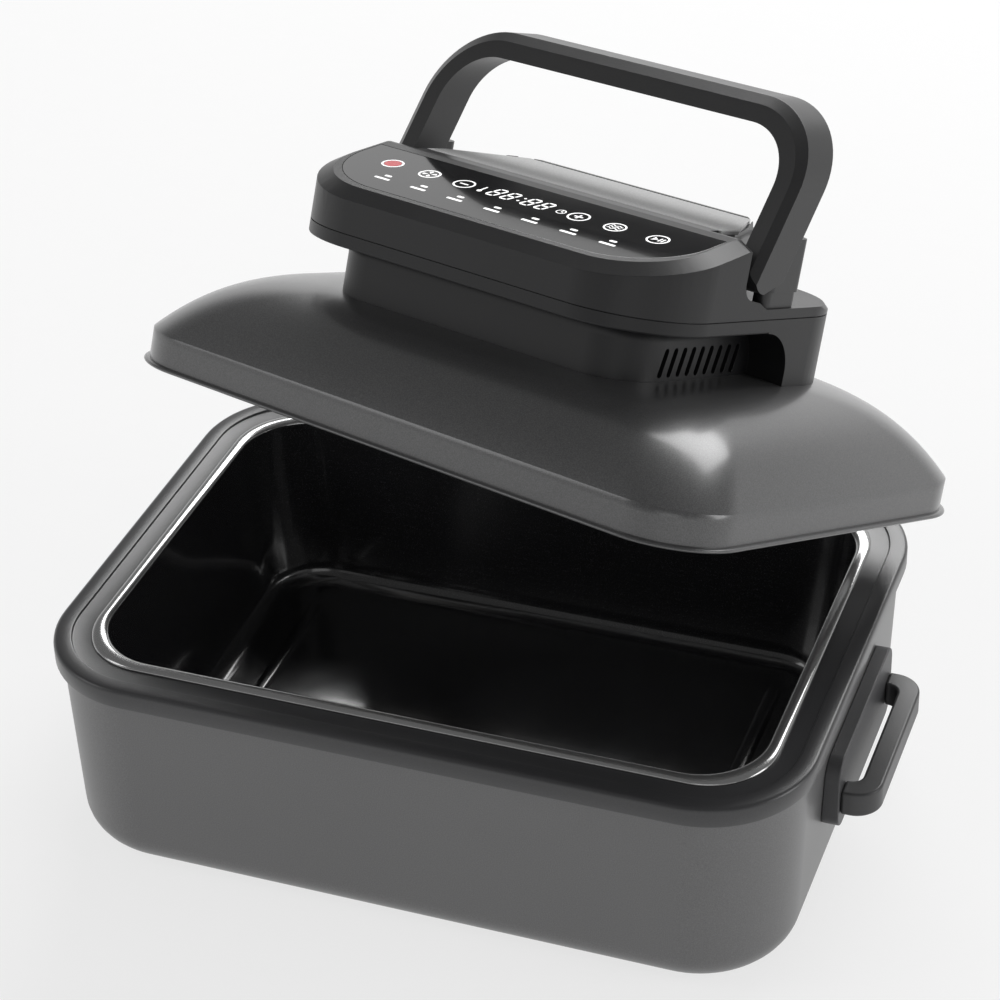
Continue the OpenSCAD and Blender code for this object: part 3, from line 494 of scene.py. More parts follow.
bead = []
for k in range(15):
    a = math.pi * k / 14
    s = BEAD_OUT * (1 - math.sin(a))
    bead.append(ring(BEAD_W - 2 * s, BEAD_D - 2 * s, BEAD_R - s, 0.6 + 1.3 * (1 - math.cos(a))))
skirt = [ring(SKIRT[0], SKIRT[1], SKIRT[2], 3.4 + (SKIRT[3] - 3.4) * k / 4) for k in range(5)]
under = [dome_loop((k / 24) ** 1.5, 1.2) for k in range(24, -1, -1)]
foot_loop = ring(SKIRT[0] - 2.4, SKIRT[1] - 2.4, SKIRT[2] - 0.6, 0.6)
shell = skin([dome_loop(1, 0), hole_loop(25, DOME_H), hole_loop(25, DOME_H - 1.2)] + under + [foot_loop] + bead
             + skirt, "open")
lower = solid("lid_dome_lower", [shell])
dome = finished("lid_dome_pressing", joined("pressing", dome, lower), LID, 50)
stand_for(dome, "lid", "lid_paint", lid_paint.material, "lid_dome")

# Head: two black mouldings, built here from plan outlines as their tools are. The upper one has the bevelled
# seat of the panel, the rear deck, the shelf and the S-shaped notch over each toe of the handle.
# They are joined by screws from below, along a seam that shows as a fine dark line.
HEAD_W, HEAD_FRONT, HEAD_BACK, DECK_BACK = 242, -97, 85, 53
FRONT_R, REAR_R, NECK_IN, SEAM_Z, FRONT_Z, DECK_Z = 50, 40, 22, 91.5, 108, 130
TILT = math.radians(13.5)
CHAMFER_H, CHAMFER_IN, WALL = 4.5, 8.5, 2.5
DECK_WALL_Z = DECK_Z - CHAMFER_H
DECK_Y = HEAD_FRONT + (DECK_WALL_Z - FRONT_Z) / math.tan(TILT)
PANEL_LEN = (DECK_Y - HEAD_FRONT) / math.cos(TILT)
SHELF_Z, SHELF_X, DECK_BACK_X, SHELF_BEVEL = 96.5, 97, 76, 6
FAR = 300
NOTCH_Y, TOE_Z, NOTCH_R = -22, 110, 9


def arc(cx, cy, r, start, end, steps=14):
    """Points of an arc in a plan, angles in degrees."""
    return [(cx + r * math.cos(math.radians(start + (end - start) * k / steps)),
             cy + r * math.sin(math.radians(start + (end - start) * k / steps))) for k in range(steps + 1)]


def head_plan(inset):
    half, yf, yr = HEAD_W / 2 - inset, HEAD_FRONT + inset, HEAD_BACK - inset
    rf, rr = max(FRONT_R - inset, 6), max(REAR_R - inset, 2.5)
    return (arc(half - rr, yr - rr, rr, 0, 90) + arc(rr - half, yr - rr, rr, 90, 180)
            + arc(rf - half, yf + rf, rf, 180, 270) + arc(half - rf, yf + rf, rf, 270, 360))


def flat(plan, z):
    return [(x, y, z) for x, y in plan]


def on_panel(points):
    """From the panel's own frame (across, up the slope, out of it) to the lid's."""
    return [(x, HEAD_FRONT + v * math.cos(TILT) - h * math.sin(TILT), FRONT_Z + v * math.sin(TILT) + h * math.cos(TILT))
            for x, v, h in points]


def body_of(part, name="block"):
    """Closed mesh object of one convex or skinned part, ready for joining and cutting."""
    return solid(name, [part])


def prism(plan, z0, z1):
    return body_of(skin([flat(plan, z0), flat(plan, z1)]))


def wedge(profile, half):
    """A side profile (y, z) drawn out across the lid."""
    return body_of(skin([[(x, y, z) for y, z in profile] for x in (-half, half)]))


def wrap(points):
    """The convex body round some points."""
    bm = bmesh.new()
    for p in points:
        bm.verts.new(Vector(p) * MM)
    bmesh.ops.convex_hull(bm, input=bm.verts)
    bmesh.ops.delete(bm, geom=[v for v in bm.verts if not v.link_faces], context="VERTS")
    mesh = bpy.data.meshes.new("wrap")
    bm.to_mesh(mesh)
    bm.free()
    return finished("wrap", mesh)


def cut_by(made, way, *tools):
    """Joins ('UNION'), cuts ('DIFFERENCE') or keeps the shared part ('INTERSECT'), tool by tool."""
    for tool in tools:
        step = made.modifiers.new("step", "BOOLEAN")
        step.operation = way
        step.solver = "MANIFOLD"
        step.object = tool
        applied(made)
        bpy.data.objects.remove(tool)
    return made


def edged(name, made, width, segments=3, angle=30, place=LID):
    """Rounds over the edges of a moulding and puts it where the lid is."""
    bm = bmesh.new()
    bm.from_mesh(made.data)
    bmesh.ops.remove_doubles(bm, verts=bm.verts, dist=2e-5)
    bmesh.ops.dissolve_limit(bm, angle_limit=math.radians(0.3), verts=bm.verts, edges=bm.edges)
    bm.to_mesh(made.data)
    bm.free()
    bevel = made.modifiers.new("edge", "BEVEL")
    bevel.width = width * MM
    bevel.segments = segments
    bevel.limit_method = "ANGLE"
    bevel.angle_limit = math.radians(angle)
    applied(made)
    made.data.shade_smooth()
    made.data.set_sharp_from_angle(angle=math.radians(angle))
    made.data.transform(place)
    made.name = name
    return applied(level(made))


def panel_plan(half, v0, v1, r, h):
    return on_panel([(x, v, h) for x, v in arc(r - half, v0 + r, r, 180, 270) + arc(half - r, v0 + r, r, 270, 360)
                     + [(half, v1), (-half, v1)]])


def deck_plan(grow):
    half, back, deep = SHELF_X + grow, DECK_BACK + grow, DECK_BACK_X + grow
    return [(-half, -FAR), (half, -FAR), (half, 2 + grow), (deep + 4, back - 10), (deep - 6, back),
            (6 - deep, back), (-4 - deep, back - 10), (-half, 2 + grow)]


def shelf_space(clear):
    profile = ([(NOTCH_Y, FAR), (NOTCH_Y, TOE_Z)] + arc(NOTCH_Y + NOTCH_R, TOE_Z, NOTCH_R, 180, 255, 10)
               + [(-7, TOE_Z - 10), (0, SHELF_Z), (FAR, SHELF_Z), (FAR, FAR)])
    space = wedge([(y + clear, z + clear) for y, z in profile], FAR)
    return cut_by(space, "DIFFERENCE", prism(deck_plan(clear), -10, 400))


def top_block(drop):
    """Everything under the sloping seat and the rear deck's wall."""
    slope = [(-FAR, FRONT_Z - drop - (FAR + HEAD_FRONT) * math.tan(TILT)), (DECK_Y, DECK_WALL_Z - drop),
             (FAR, DECK_WALL_Z - drop)]
    return wedge(slope + [(FAR, 20), (-FAR, 20)], FAR)


lean = CHAMFER_IN / CHAMFER_H
across = HEAD_W / 2
seat_bevel = wrap(panel_plan(across + lean, -lean, PANEL_LEN, FRONT_R + lean, -1)
                  + panel_plan(across - CHAMFER_IN, CHAMFER_IN, PANEL_LEN, FRONT_R - CHAMFER_IN, CHAMFER_H)
                  + [(sx * (across - CHAMFER_IN), NOTCH_Y + dy, z) for sx in (-1, 1) for dy in (-2, 0)
                     for z in (DECK_Z - 1, DECK_Z)]
                  + [(sx * (across + lean), NOTCH_Y + dy, DECK_WALL_Z - 1) for sx in (-1, 1) for dy in (-2, 0)])
deck_bevel = wrap([(x, max(y, NOTCH_Y - 0.5), z) for grow, z0 in ((0, DECK_Z - 20), (-2.5, DECK_Z - 1))
                   for z in (z0, z0 + 1) for x, y in deck_plan(grow)])
grow = SHELF_BEVEL / (SHELF_Z - SEAM_Z - 1)
edge_keep = wrap(flat(head_plan(-grow), SEAM_Z)
                 + [(x, y - SHELF_BEVEL - 2 * grow, SHELF_Z + 1) for x, y in head_plan(-grow)])
edge_keep = cut_by(edge_keep, "UNION", prism(deck_plan(0), SEAM_Z - 1, 200),
                   prism([(-FAR, -FAR), (FAR, -FAR), (FAR, 0), (-FAR, 0)], SEAM_Z - 1, 200))
upper = prism(head_plan(0), SEAM_Z, 160)
upper = cut_by(upper, "INTERSECT", cut_by(top_block(0), "UNION", seat_bevel, deck_bevel), edge_keep)
hollow = cut_by(prism(head_plan(WALL + SHELF_BEVEL), SEAM_Z - 1, 160), "INTERSECT", top_block(1.2))
hollow = cut_by(hollow, "DIFFERENCE", shelf_space(-WALL))
GLASS_HALF, GLASS_V0, GLASS_V1, GLASS_T, COVER_T = 111, 12.4, 69, 1.8, 2.4


def cover_plan(inset):
    half, back_half, back = SHELF_X - 1 - inset, DECK_BACK_X - 3 - inset, DECK_BACK - SHELF_BEVEL - inset
    return [(-half, -14 + inset), (half, -14 + inset), (half, 2), (back_half, back), (-back_half, back), (-half, 2)]


seat = body_of(skin([panel_plan(GLASS_HALF + 0.25, GLASS_V0 - 0.25, GLASS_V1 + 0.25, FRONT_R - 5.75, h)
                     for h in (CHAMFER_H - GLASS_T - 0.5, 30)]))
upper = cut_by(upper, "DIFFERENCE", hollow, shelf_space(0), seat,
               prism(cover_plan(-0.5), DECK_Z - COVER_T, 160))
head_plastic = moulded("head plastic", (0.008, 0.008, 0.0085), (0.018, 0.018, 0.019), 0.33,
                       Specular_IOR_Level=0.35)
upper = edged("head_moulding", upper, 0.5, 3, 17)
stand_for(upper, "lid", "head_plastic", head_plastic, "upper_housing")

# Neck: the lower moulding of the head. It flares out under the lip, carries a row of slanted air slots on
# each side, and stands on the dome with a fine dark joint round its foot.
LIP_H, FRAME_Y, RECESS_R, NECK_LOW, FLARE = 7.4, 27, 21, 48, 8
flare = [(NECK_IN - FLARE * (1 - math.cos(math.radians(90 * k / 9))),
          SEAM_Z - LIP_H - FLARE + FLARE * math.sin(math.radians(90 * k / 9))) for k in range(10)]
neck = body_of(skin([flat(head_plan(s), z) for s, z in [(NECK_IN, NECK_LOW)] + flare
                     + [(1, SEAM_Z - LIP_H), (0.3, SEAM_Z - LIP_H + 0.3), (0, SEAM_Z - LIP_H + 1), (0, SEAM_Z - 0.5),
                        (0.9, SEAM_Z - 0.45), (0.9, SEAM_Z)]]))
frame_plan = [(x, y) for x, y in head_plan(0) if y > FRAME_Y] + [(-across, FRAME_Y), (across, FRAME_Y)]
neck = cut_by(neck, "UNION", prism(frame_plan, NECK_LOW, SEAM_Z - 2))
for side in (-1, 1):
    profile = [(FRAME_Y + 1, SEAM_Z - LIP_H + 1), (FRAME_Y - RECESS_R, SEAM_Z - LIP_H + 1)]
    profile += arc(FRAME_Y - RECESS_R, SEAM_Z - LIP_H - RECESS_R, RECESS_R, 90, 0)
    profile.append((FRAME_Y + 1, SEAM_Z - LIP_H - RECESS_R))
    gusset = body_of(skin([[(side * x, y, z) for y, z in profile] for x in (across - 24, across)]))
    neck = cut_by(neck, "UNION", gusset)
filled = body_of(skin([ring(SKIRT[0], SKIRT[1], SKIRT[2], -30)] + [dome_loop((k / 24) ** 1.5, 0) for k in range(25)]))
inside_plan = prism(head_plan(NECK_IN + WALL), NECK_LOW - 1, SEAM_Z + 1)
neck = cut_by(neck, "DIFFERENCE", filled, inside_plan,
              prism([(x, y) for x, y in head_plan(WALL) if y > FRAME_Y + WALL]
                    + [(WALL - across, FRAME_Y + WALL), (across - WALL, FRAME_Y + WALL)],
                    NECK_LOW - 1, SEAM_Z - LIP_H - FLARE))
SLOT_Y, SLOT_STEP, SLOT_Z, SLOT_W, SLOT_H, SLOT_LEAN = -47, 7.6, 66, 3.4, 15, math.radians(14)
slots = []
for side in (-1, 1):
    for k in range(9):
        outline = (arc(0, SLOT_H / 2 - SLOT_W / 2, SLOT_W / 2, 0, 180, 6)
                   + arc(0, SLOT_W / 2 - SLOT_H / 2, SLOT_W / 2, 180, 360, 6))
        loop = [(y * math.cos(SLOT_LEAN) + z * math.sin(SLOT_LEAN) + SLOT_Y + SLOT_STEP * k,
                 z * math.cos(SLOT_LEAN) - y * math.sin(SLOT_LEAN) + SLOT_Z) for y, z in outline]
        slots.append(skin([[(side * x, y, z) for y, z in loop] for x in (across - NECK_IN - 5, across - NECK_IN + 5)]))
for k in range(-5, 6):
    outline = arc(26 + 7 * k, 74 + 8.5, 1.5, 0, 180, 6) + arc(26 + 7 * k, 74 - 8.5, 1.5, 180, 360, 6)
    slots.append(skin([[(x, y, z) for x, z in outline] for y in (HEAD_BACK - 5, HEAD_BACK + 5)]))
neck = cut_by(neck, "DIFFERENCE", solid("slots", slots),
              body_of(skin([[(x, y, z) for x, z in ((-77.2, 62.8), (-46.8, 62.8), (-46.8, 85.2), (-77.2, 85.2))]
                            for y in (HEAD_BACK - 9, HEAD_BACK + 9)])))
neck_plastic = moulded("neck plastic", (0.006, 0.006, 0.0065), (0.014, 0.014, 0.015), 0.36,
                       Specular_IOR_Level=0.35)
neck = edged("neck_moulding", neck, 0.4, 2, 17)
stand_for(neck, "lid", "neck_plastic", neck_plastic, "neck_housing")

# Touch panel: one glossy black pane let into the head's slope.
pane_finish = Finish("panel gloss", Specular_IOR_Level=0.5, Coat_Weight=0.3, Coat_Roughness=0.03)
smudge = pane_finish.grain(30, 4)
pane_finish.wear(pane_finish.mix((0.004, 0.004, 0.0045), (0.008, 0.008, 0.009), smudge), 0.05 + 0.07 * smudge,
                 smudge, 0.0003, 0.04)
pane = edged("touch_pane", body_of(skin([panel_plan(GLASS_HALF, GLASS_V0, GLASS_V1, FRONT_R - 6, h)
                                         for h in (CHAMFER_H - GLASS_T, CHAMFER_H)])), 0.3, 2)
stand_for(pane, "lid", "panel", pane_finish.material, "touch_panel")

# Marks on the pane: printed in white, with the power mark's disc in red, and given a faint painted glow. Rings and bars
# come from one node tree; the digits are the seven-bar figures of a timer, and the symbols are plain ones.
MARK_UP = 0.05


def print_with_painted_glow(name, colour, glow_level):
    ink = Finish(name, Roughness=0.45)
    spot_grain = ink.grain(2500, 1)
    ink.wear(ink.mix(tuple(c * 0.92 for c in colour), colour, spot_grain))
    # Painted glow: the ink's emission makes the marks light up a little.
    ink.put(ink.shader.inputs["Emission Color"], ink.mix(colour, colour, spot_grain))
    ink.shader.inputs["Emission Strength"].default_value = glow_level
    return ink.material


white_ink = print_with_painted_glow("white ink", (0.9, 0.9, 0.9), 0.6)
red_ink = print_with_painted_glow("red ink", (0.55, 0.05, 0.06), 0.15)
mark_tree = bpy.data.node_groups.new("row of marks", "GeometryNodeTree")
count, pitch, start, up_slope, length, height, round_r, hole = asked(
    mark_tree, Count=1, Pitch=0, Start=0, Up_slope=0, Length=1, Height=1, Rounding=0.5, Hole=0)
row_graph = Graph(mark_tree)


def outline_curve(w, h, r):
    frame_curve = row_graph.node("GeometryNodeCurvePrimitiveQuadrilateral", None, {"Width": w * MM, "Height": h * MM})
    return row_graph.node("GeometryNodeFilletCurve", {"mode": "POLY"},
                          {"Curve": frame_curve, "Count": 7, "Radius": r * MM, "Limit Radius": True})


both = row_graph.tree.nodes.new("GeometryNodeJoinGeometry")
inner_w = length - hole * 2
for curve in (outline_curve(length, height, round_r), outline_curve(inner_w, height - hole * 2, round_r - hole)):
    row_graph.tree.links.new(curve.socket, both.inputs[0])
mark = row_graph.node("GeometryNodeFillCurve", {"mode": "NGONS"}, {0: Sock(row_graph, both.outputs[0])})
mark = row_graph.node("GeometryNodeExtrudeMesh", None,
                      {"Mesh": mark, "Offset Scale": MARK_UP * MM, "Individual": False})
line = row_graph.node("GeometryNodeMeshLine", None, {
    "Count": count,
    "Start Location": row_graph.node("ShaderNodeCombineXYZ", None, {0: start * MM, 1: up_slope * MM}),
    "Offset": row_graph.node("ShaderNodeCombineXYZ", None, {0: pitch * MM})})
placed = row_graph.node("GeometryNodeInstanceOnPoints", None, {"Points": line, "Instance": mark})
close_tree(row_graph, placed, white_ink)
PANEL = LID @ Matrix.Translation((0, HEAD_FRONT * MM, FRONT_Z * MM)) @ Matrix.Rotation(TILT, 4, "X") \
    @ Matrix.Translation((0, 0, (CHAMFER_H - 0.01) * MM))


def marks(name, **sizes):
    return grown(name, mark_tree, bpy.data.meshes.new("seed"), sizes, PANEL)


def plate(name, outlines, place=PANEL):
    """Thin printed shapes from plan outlines."""
    return solid(name, [skin([flat(outline, 0), flat(outline, MARK_UP)]) for outline in outlines], place)


RING = 12
prints = [marks("mark_ring_%d" % k, Count=1, Pitch=0, Start=x, Up_slope=49, Length=RING, Height=RING,
                Rounding=RING / 2, Hole=1.05) for k, x in enumerate((-85, -60, -37, 36.5, 59, 85))]
prints.append(marks("mark_lamps", Count=7, Pitch=24, Start=-73, Up_slope=32.2, Length=4.4, Height=2.1,
                    Rounding=1.0, Hole=0.9))
prints.append(marks("mark_underlines", Count=7, Pitch=24, Start=-73, Up_slope=27.4, Length=9.6, Height=2.0,
                    Rounding=0.6, Hole=0.97))


def bar(x0, y0, x1, y1, w):
    """Straight stroke between two points."""
    dx, dy = x1 - x0, y1 - y0
    n = w / 2 / math.hypot(dx, dy)
    return [(x0 - dy * n, y0 + dx * n), (x0 + dy * n, y0 - dx * n), (x1 + dy * n, y1 - dx * n),
            (x1 - dy * n, y1 + dx * n)]


def digit(x, v, w=6.2, h=11.5, t=1.25, slant=0.2):
    """An eight made of seven bars with small gaps, leaning to the right."""
    g = 0.25
    half, mid = t / 2, h / 2
    level_bars = [[(g + half, y), (g + t, y + half), (w - g - t, y + half), (w - g - half, y), (w - g - t, y - half),
                   (g + t, y - half)] for y in (half, mid, h - half)]
    upright = [[(a, lo + g), (a - half, lo + g + half), (a - half, hi - g - half), (a, hi - g),
                (a + half, hi - g - half), (a + half, lo + g + half)]
               for a in (half, w - half) for lo, hi in ((half, mid), (mid, h - half))]
    return [[(x + p + slant * (q - mid), v - mid + q) for p, q in loop] for loop in level_bars + upright]


figures = [loop for x in (-19.5, -10.6, 2.4, 11.3) for loop in digit(x, 50)]
figures += [arc(x, y, 0.8, 0, 348, 11) for x, y in ((-0.9, 47.6), (0.1, 52.4))]
symbols = [bar(-39.6, 49, -34.4, 49, 1.2), bar(33.9, 49, 39.1, 49, 1.2), bar(36.5, 46.4, 36.5, 48.3, 1.2),
           bar(36.5, 49.7, 36.5, 51.6, 1.2)]
for a in (15, 105, 195, 285):
    c, d = math.cos(math.radians(a)), math.sin(math.radians(a))
    symbols.append([(-60 + c * 0.7, 49 + d * 0.7), (-60 + c * 3.2 - d * 1.6, 49 + d * 3.2 + c * 1.6),
                    (-60 + c * 4.2, 49 + d * 4.2), (-60 + c * 3.4 + d * 0.7, 49 + d * 3.4 - c * 0.7)])
for k in (-1, 0, 1):
    symbols.append([(55.4 + 0.9 * j, 49 + 2.1 * k + 0.7 * math.sin(1.5 * j) - 0.4) for j in range(9)]
                   + [(55.4 + 0.9 * j, 49 + 2.1 * k + 0.7 * math.sin(1.5 * j) + 0.4) for j in range(8, -1, -1)])
symbols += [[(82.2, 46.7), (85.2, 49), (82.2, 51.3)], bar(86.3, 46.8, 86.3, 51.2, 0.9),
            bar(88.1, 46.8, 88.1, 51.2, 0.9)]
symbols += [arc(-25, 46.4, 1.4, 0, 345, 14), bar(-25, 47.2, -25, 53, 1.0)]
symbols += [bar(25.5, 49, 25.5, 51, 0.5), bar(25.5, 49, 27, 48.4, 0.5)]
prints.append(plate("mark_figures", figures))
prints.append(plate("mark_symbols", symbols))
prints.append(marks("mark_clock", Count=1, Pitch=0, Start=25.5, Up_slope=49, Length=5.6, Height=5.6, Rounding=2.8,
                    Hole=0.6))
stand_for(finished("panel_marks", joined("marks", *prints)), "lid", "panel", white_ink)
stand_for(plate("power_disc", [arc(-85, 49, 4.5, 0, 352, 40)]), "lid", "panel", red_ink)

# Rear cover: a flat grey insert on the rear deck with a fine leather-like texture. Its grey is made pale, partly as
# painted light for the sheen that the light behind lays on its top.
pale_sheen_cover = Finish("cover plastic", Specular_IOR_Level=0.45)
pebble = pale_sheen_cover.node("ShaderNodeTexVoronoi", None, {"Vector": pale_sheen_cover.where, "Scale": 1100})
# Partly painted light: the pale grey stands in for part of the sheen from the window of light behind.
pale_sheen_cover.wear(pale_sheen_cover.mix((0.36, 0.36, 0.36), (0.52, 0.52, 0.52), pebble + 0.1 * pale_sheen_cover.grain(12)),
                  0.58 + 0.2 * pebble, pebble, 0.0001, 0.5)
cover = dressed("rear_cover_plate", "rear_cover", 0.6, 3)
stand_for(cover, "lid", "cover_plastic", pale_sheen_cover.material, "rear_cover")

# Carry handle: one thick moulded arch, bevelled along its outer front edge, seated on two posts.
handle_plastic = moulded("handle plastic", (0.014, 0.014, 0.0145), (0.026, 0.026, 0.027), 0.3)
handle = dressed("carry_handle_arch", "carry_handle", 1.3, 4)
stand_for(handle, "lid", "handle_plastic", handle_plastic, "carry_handle")
post_plastic = moulded("post plastic", (0.014, 0.014, 0.0145), (0.026, 0.026, 0.027), 0.36)
for side in ("left", "right"):
    post = dressed("handle_post_moulding_" + side, "handle_post_" + side, 0.8)
    stand_for(post, "lid", "post_plastic", post_plastic, "handle_post_" + side)

# Seal: one silicone ring that lies on the pot's rolled edge, slightly dusty and matte.
silicone = Finish("silicone", Specular_IOR_Level=0.35)
dust = silicone.grain(220, 4)
silicone.wear(silicone.mix((0.2, 0.2, 0.195), (0.3, 0.3, 0.29), dust), 0.6 + 0.2 * dust, dust, 0.00006, 0.4)
seal_rows = [(4.5, 0.5), (5.0, 0.1), (5.6, 0), (8.2, 0), (8.6, 0.5), (9.4, 0.5), (9.8, 0), (13.4, 0), (14.1, 0.25),
             (14.4, 0.9), (14.4, 2.4), (14.0, 2.9), (4.9, 2.9), (4.5, 2.5)]
seal = solid("seal_ring", [skin([ring(BEAD_W - 2 * s, BEAD_D - 2 * s, BEAD_R - s, z) for s, z in seal_rows], "loop")],
             LID)
stand_for(seal, "lid", "seal", silicone.material, "lid_seal")


# Ceiling, guard and spacers: bright pressed sheet, brushed one way, with a little brown haze from roasting
# in patches.
def sheet_metal(name, low, high, rough, stretch=(1, 14, 1), haze=0.0, **constants):
    metal = Finish(name, Metallic=1.0, **constants)
    brush = metal.grain(90, 4, stretch)
    stain = metal.ramp(metal.grain(14, 4), [(0.42, 0), (0.75, 1)]) * haze
    bright = metal.mix(low, high, brush)
    return metal.wear(metal.mix(bright, (0.32, 0.24, 0.15), stain), rough + 0.16 * brush + 0.2 * stain, brush,
                      0.00003, 0.3)


ceiling = sheet_metal("bright sheet", (0.5, 0.505, 0.51), (0.68, 0.685, 0.69), 0.22, haze=0.35)
stand_for(dressed("ceiling_tray", "lid_liner", 0.45, 2), "lid", "liner_metal", ceiling, "lid_liner")
guard_steel = sheet_metal("guard sheet", (0.52, 0.53, 0.54), (0.7, 0.71, 0.72), 0.2, haze=0.2)
stand_for(dressed("guard_disc", "fan_guard", 0.3, 2), "lid", "guard_steel", guard_steel, "fan_guard")
stand_for(dressed("guard_spacers", "guard_legs", 0.3, 2), "lid", "guard_steel", guard_steel, "guard_legs")

# Heating element: one steel tube, bent into two rings and oxidised blue-black, with its ends rising into the ceiling.
# A node tree sweeps the tube along its bent centre line.
COIL_R, COIL_STEP, COIL_Z, TUBE_R = 88, 20, 15, 3.4
oxide = Finish("oxidised tube", Metallic=0.85)
scale_spots = oxide.grain(120, 5)
tint = oxide.grain(25, 2)
oxide.wear(oxide.mix(oxide.mix((0.05, 0.047, 0.045), (0.09, 0.085, 0.1), tint), (0.16, 0.13, 0.11), scale_spots),
           0.38 + 0.25 * scale_spots, scale_spots, 0.00008, 0.5)
tube_sizes = dict(Radius=TUBE_R)
tube_tree = bpy.data.node_groups.new("tube", "GeometryNodeTree")
tube_tree.interface.new_socket("Path", in_out="INPUT", socket_type="NodeSocketGeometry")
(tube_radius,) = asked(tube_tree, **tube_sizes)
bend = Graph(tube_tree)
path = bend.node("GeometryNodeMeshToCurve", None, {0: bend.node("NodeGroupInput")})
section = bend.node("GeometryNodeCurvePrimitiveCircle", None, {"Resolution": 16, "Radius": tube_radius * MM})
swept = bend.node("GeometryNodeCurveToMesh", None, {"Curve": path, "Profile Curve": section, "Fill Caps": True})
close_tree(bend, swept, oxide.material)
centre = []
for side in (1, -1):
    leg = [(COIL_R, 0, z) for z in (41, 34, 27, 21)] + [(COIL_R, 1.5, 17), (COIL_R, 4.5, COIL_Z)]
    leg = [(x * math.cos(math.radians(7)) - y * math.sin(math.radians(7)),
            x * math.sin(math.radians(7)) + y * math.cos(math.radians(7)), z) for x, y, z in leg]
    run = leg + [(COIL_R * math.cos(math.radians(a)), COIL_R * math.sin(math.radians(a)), COIL_Z)
                 for a in range(13, 168, 4)]
    mid = COIL_R - COIL_STEP / 2
    for k in range(1, 12):
        a, turned = math.radians(168 + 5 * math.sin(math.pi * k / 12)), COIL_STEP / 2 * math.cos(math.pi * k / 12)
        run.append(((mid + turned) * math.cos(a), (mid + turned) * math.sin(a), COIL_Z))
    run += [((COIL_R - COIL_STEP) * math.cos(math.radians(a)), (COIL_R - COIL_STEP) * math.sin(math.radians(a)), COIL_Z)
            for a in range(168, -1, -4)]
    run = [(x, side * y, z) for x, y, z in run]
    centre += run if side > 0 else run[::-1][1:]
line_mesh = bpy.data.meshes.new("element line")
line_mesh.from_pydata([Vector(p) * MM for p in centre], [(k, k + 1) for k in range(len(centre) - 1)], [])
element = grown("heating_tube", tube_tree, line_mesh, tube_sizes, LID, 60)
stand_for(element, "lid", "heater_steel", oxide.material, "heating_element")

# Fans: a pressed eight-blade wheel in the roasting space and a moulded nine-blade one for the head's air.
# One node tree sets the dished blades round each hub.
fan_tree = bpy.data.node_groups.new("fan wheel", "GeometryNodeTree")
fan_sizes = dict(Blades=8, Reach=56, Hub=9, Depth=9, Dish=4)
blades, reach_r, hub_r, blade_h, dish = asked(fan_tree, **fan_sizes)
wheel = Graph(fan_tree)
blade = wheel.node("GeometryNodeMeshGrid", None, {"Size X": 1.0, "Size Y": 1.0, "Vertices X": 9, "Vertices Y": 5})
spot = wheel.node("GeometryNodeInputPosition")
part_x, part_y = (wheel.node("ShaderNodeSeparateXYZ", None, {0: spot}, out=k) for k in (0, 1))
along = part_x + 0.5
blade_x = hub_r - 1 + (reach_r - hub_r + 1) * along
blade_y = part_y * blade_h * 1.5 * (0.6 + 0.4 * along) + dish * (along * along)
blade_z = part_y * blade_h * 0.9
shape = wheel.node("GeometryNodeSetPosition", None, {"Geometry": blade, "Position": wheel.node(
    "ShaderNodeCombineXYZ", None, {0: blade_x * MM, 1: blade_y * MM, 2: blade_z * MM})})
shape = wheel.node("GeometryNodeExtrudeMesh", None, {"Mesh": shape, "Offset Scale": 0.0007, "Individual": False})
circle = wheel.node("GeometryNodeMeshCircle", None, {"Vertices": blades, "Radius": 0.0001})
slot_index = wheel.node("GeometryNodeInputIndex")
spin = wheel.node("ShaderNodeCombineXYZ", None, {2: slot_index * (2 * math.pi) / blades})
spread = wheel.node("GeometryNodeInstanceOnPoints", None, {"Points": circle, "Instance": shape, "Rotation": spin})
close_tree(wheel, spread, ceiling)


def turned(rows, step):
    """Loops of a turned shape from its rows of (radius, height)."""
    return [[(r * math.cos(math.radians(a)), r * math.sin(math.radians(a)), h) for a in range(0, 360, step)]
            for r, h in rows]


def wheel_of(name, z, sizes_of, disc, slot_name, material, replaced):
    hub_rows = [(4.05, z - disc), (8, z - disc), (9, z - disc + 0.8), (9, z + disc - 0.8), (8, z + disc),
                (4.05, z + disc)]
    hub = skin(turned(hub_rows, 10), "loop")
    reach, low = sizes_of["Reach"], z - disc
    back = skin(turned([(8.5, low + 0.5), (reach * 0.42, low + 0.5), (reach * 0.45, low + 1),
                        (reach * 0.42, low + 1.5), (8.5, low + 1.5)], 10), "loop")
    wheel_blades = grown(name + "_blades", fan_tree, bpy.data.meshes.new("seed"), sizes_of,
                         LID @ Matrix.Translation((0, 0, z * MM)))
    core = solid(name + "_core", [hub, back], LID)
    return stand_for(finished(name, joined(name, core, wheel_blades)), "fan", slot_name, material, replaced)


fan_metal = sheet_metal("fan sheet", (0.5, 0.51, 0.52), (0.66, 0.67, 0.68), 0.26)
wheel_of("roasting_fan", 27.5, dict(Blades=8, Reach=56, Hub=9, Depth=8, Dish=5), 4.5, "fan_metal",
         fan_metal, "convection_fan")
fan_plastic = moulded("light fan plastic", (0.5, 0.5, 0.5), (0.58, 0.58, 0.58), 0.45)
wheel_of("cooling_wheel", 100, dict(Blades=9, Reach=44, Hub=9, Depth=7, Dish=4), 4, "cooling_plastic",
         fan_plastic, "cooling_fan")

# Screws: zinc-plated pan heads with a cross recess, driven up from below. One head is turned and cut, and a
# node tree sets it at every point of a set.
zinc = sheet_metal("zinc plate", (0.5, 0.5, 0.49), (0.66, 0.66, 0.64), 0.25, (6, 6, 6))


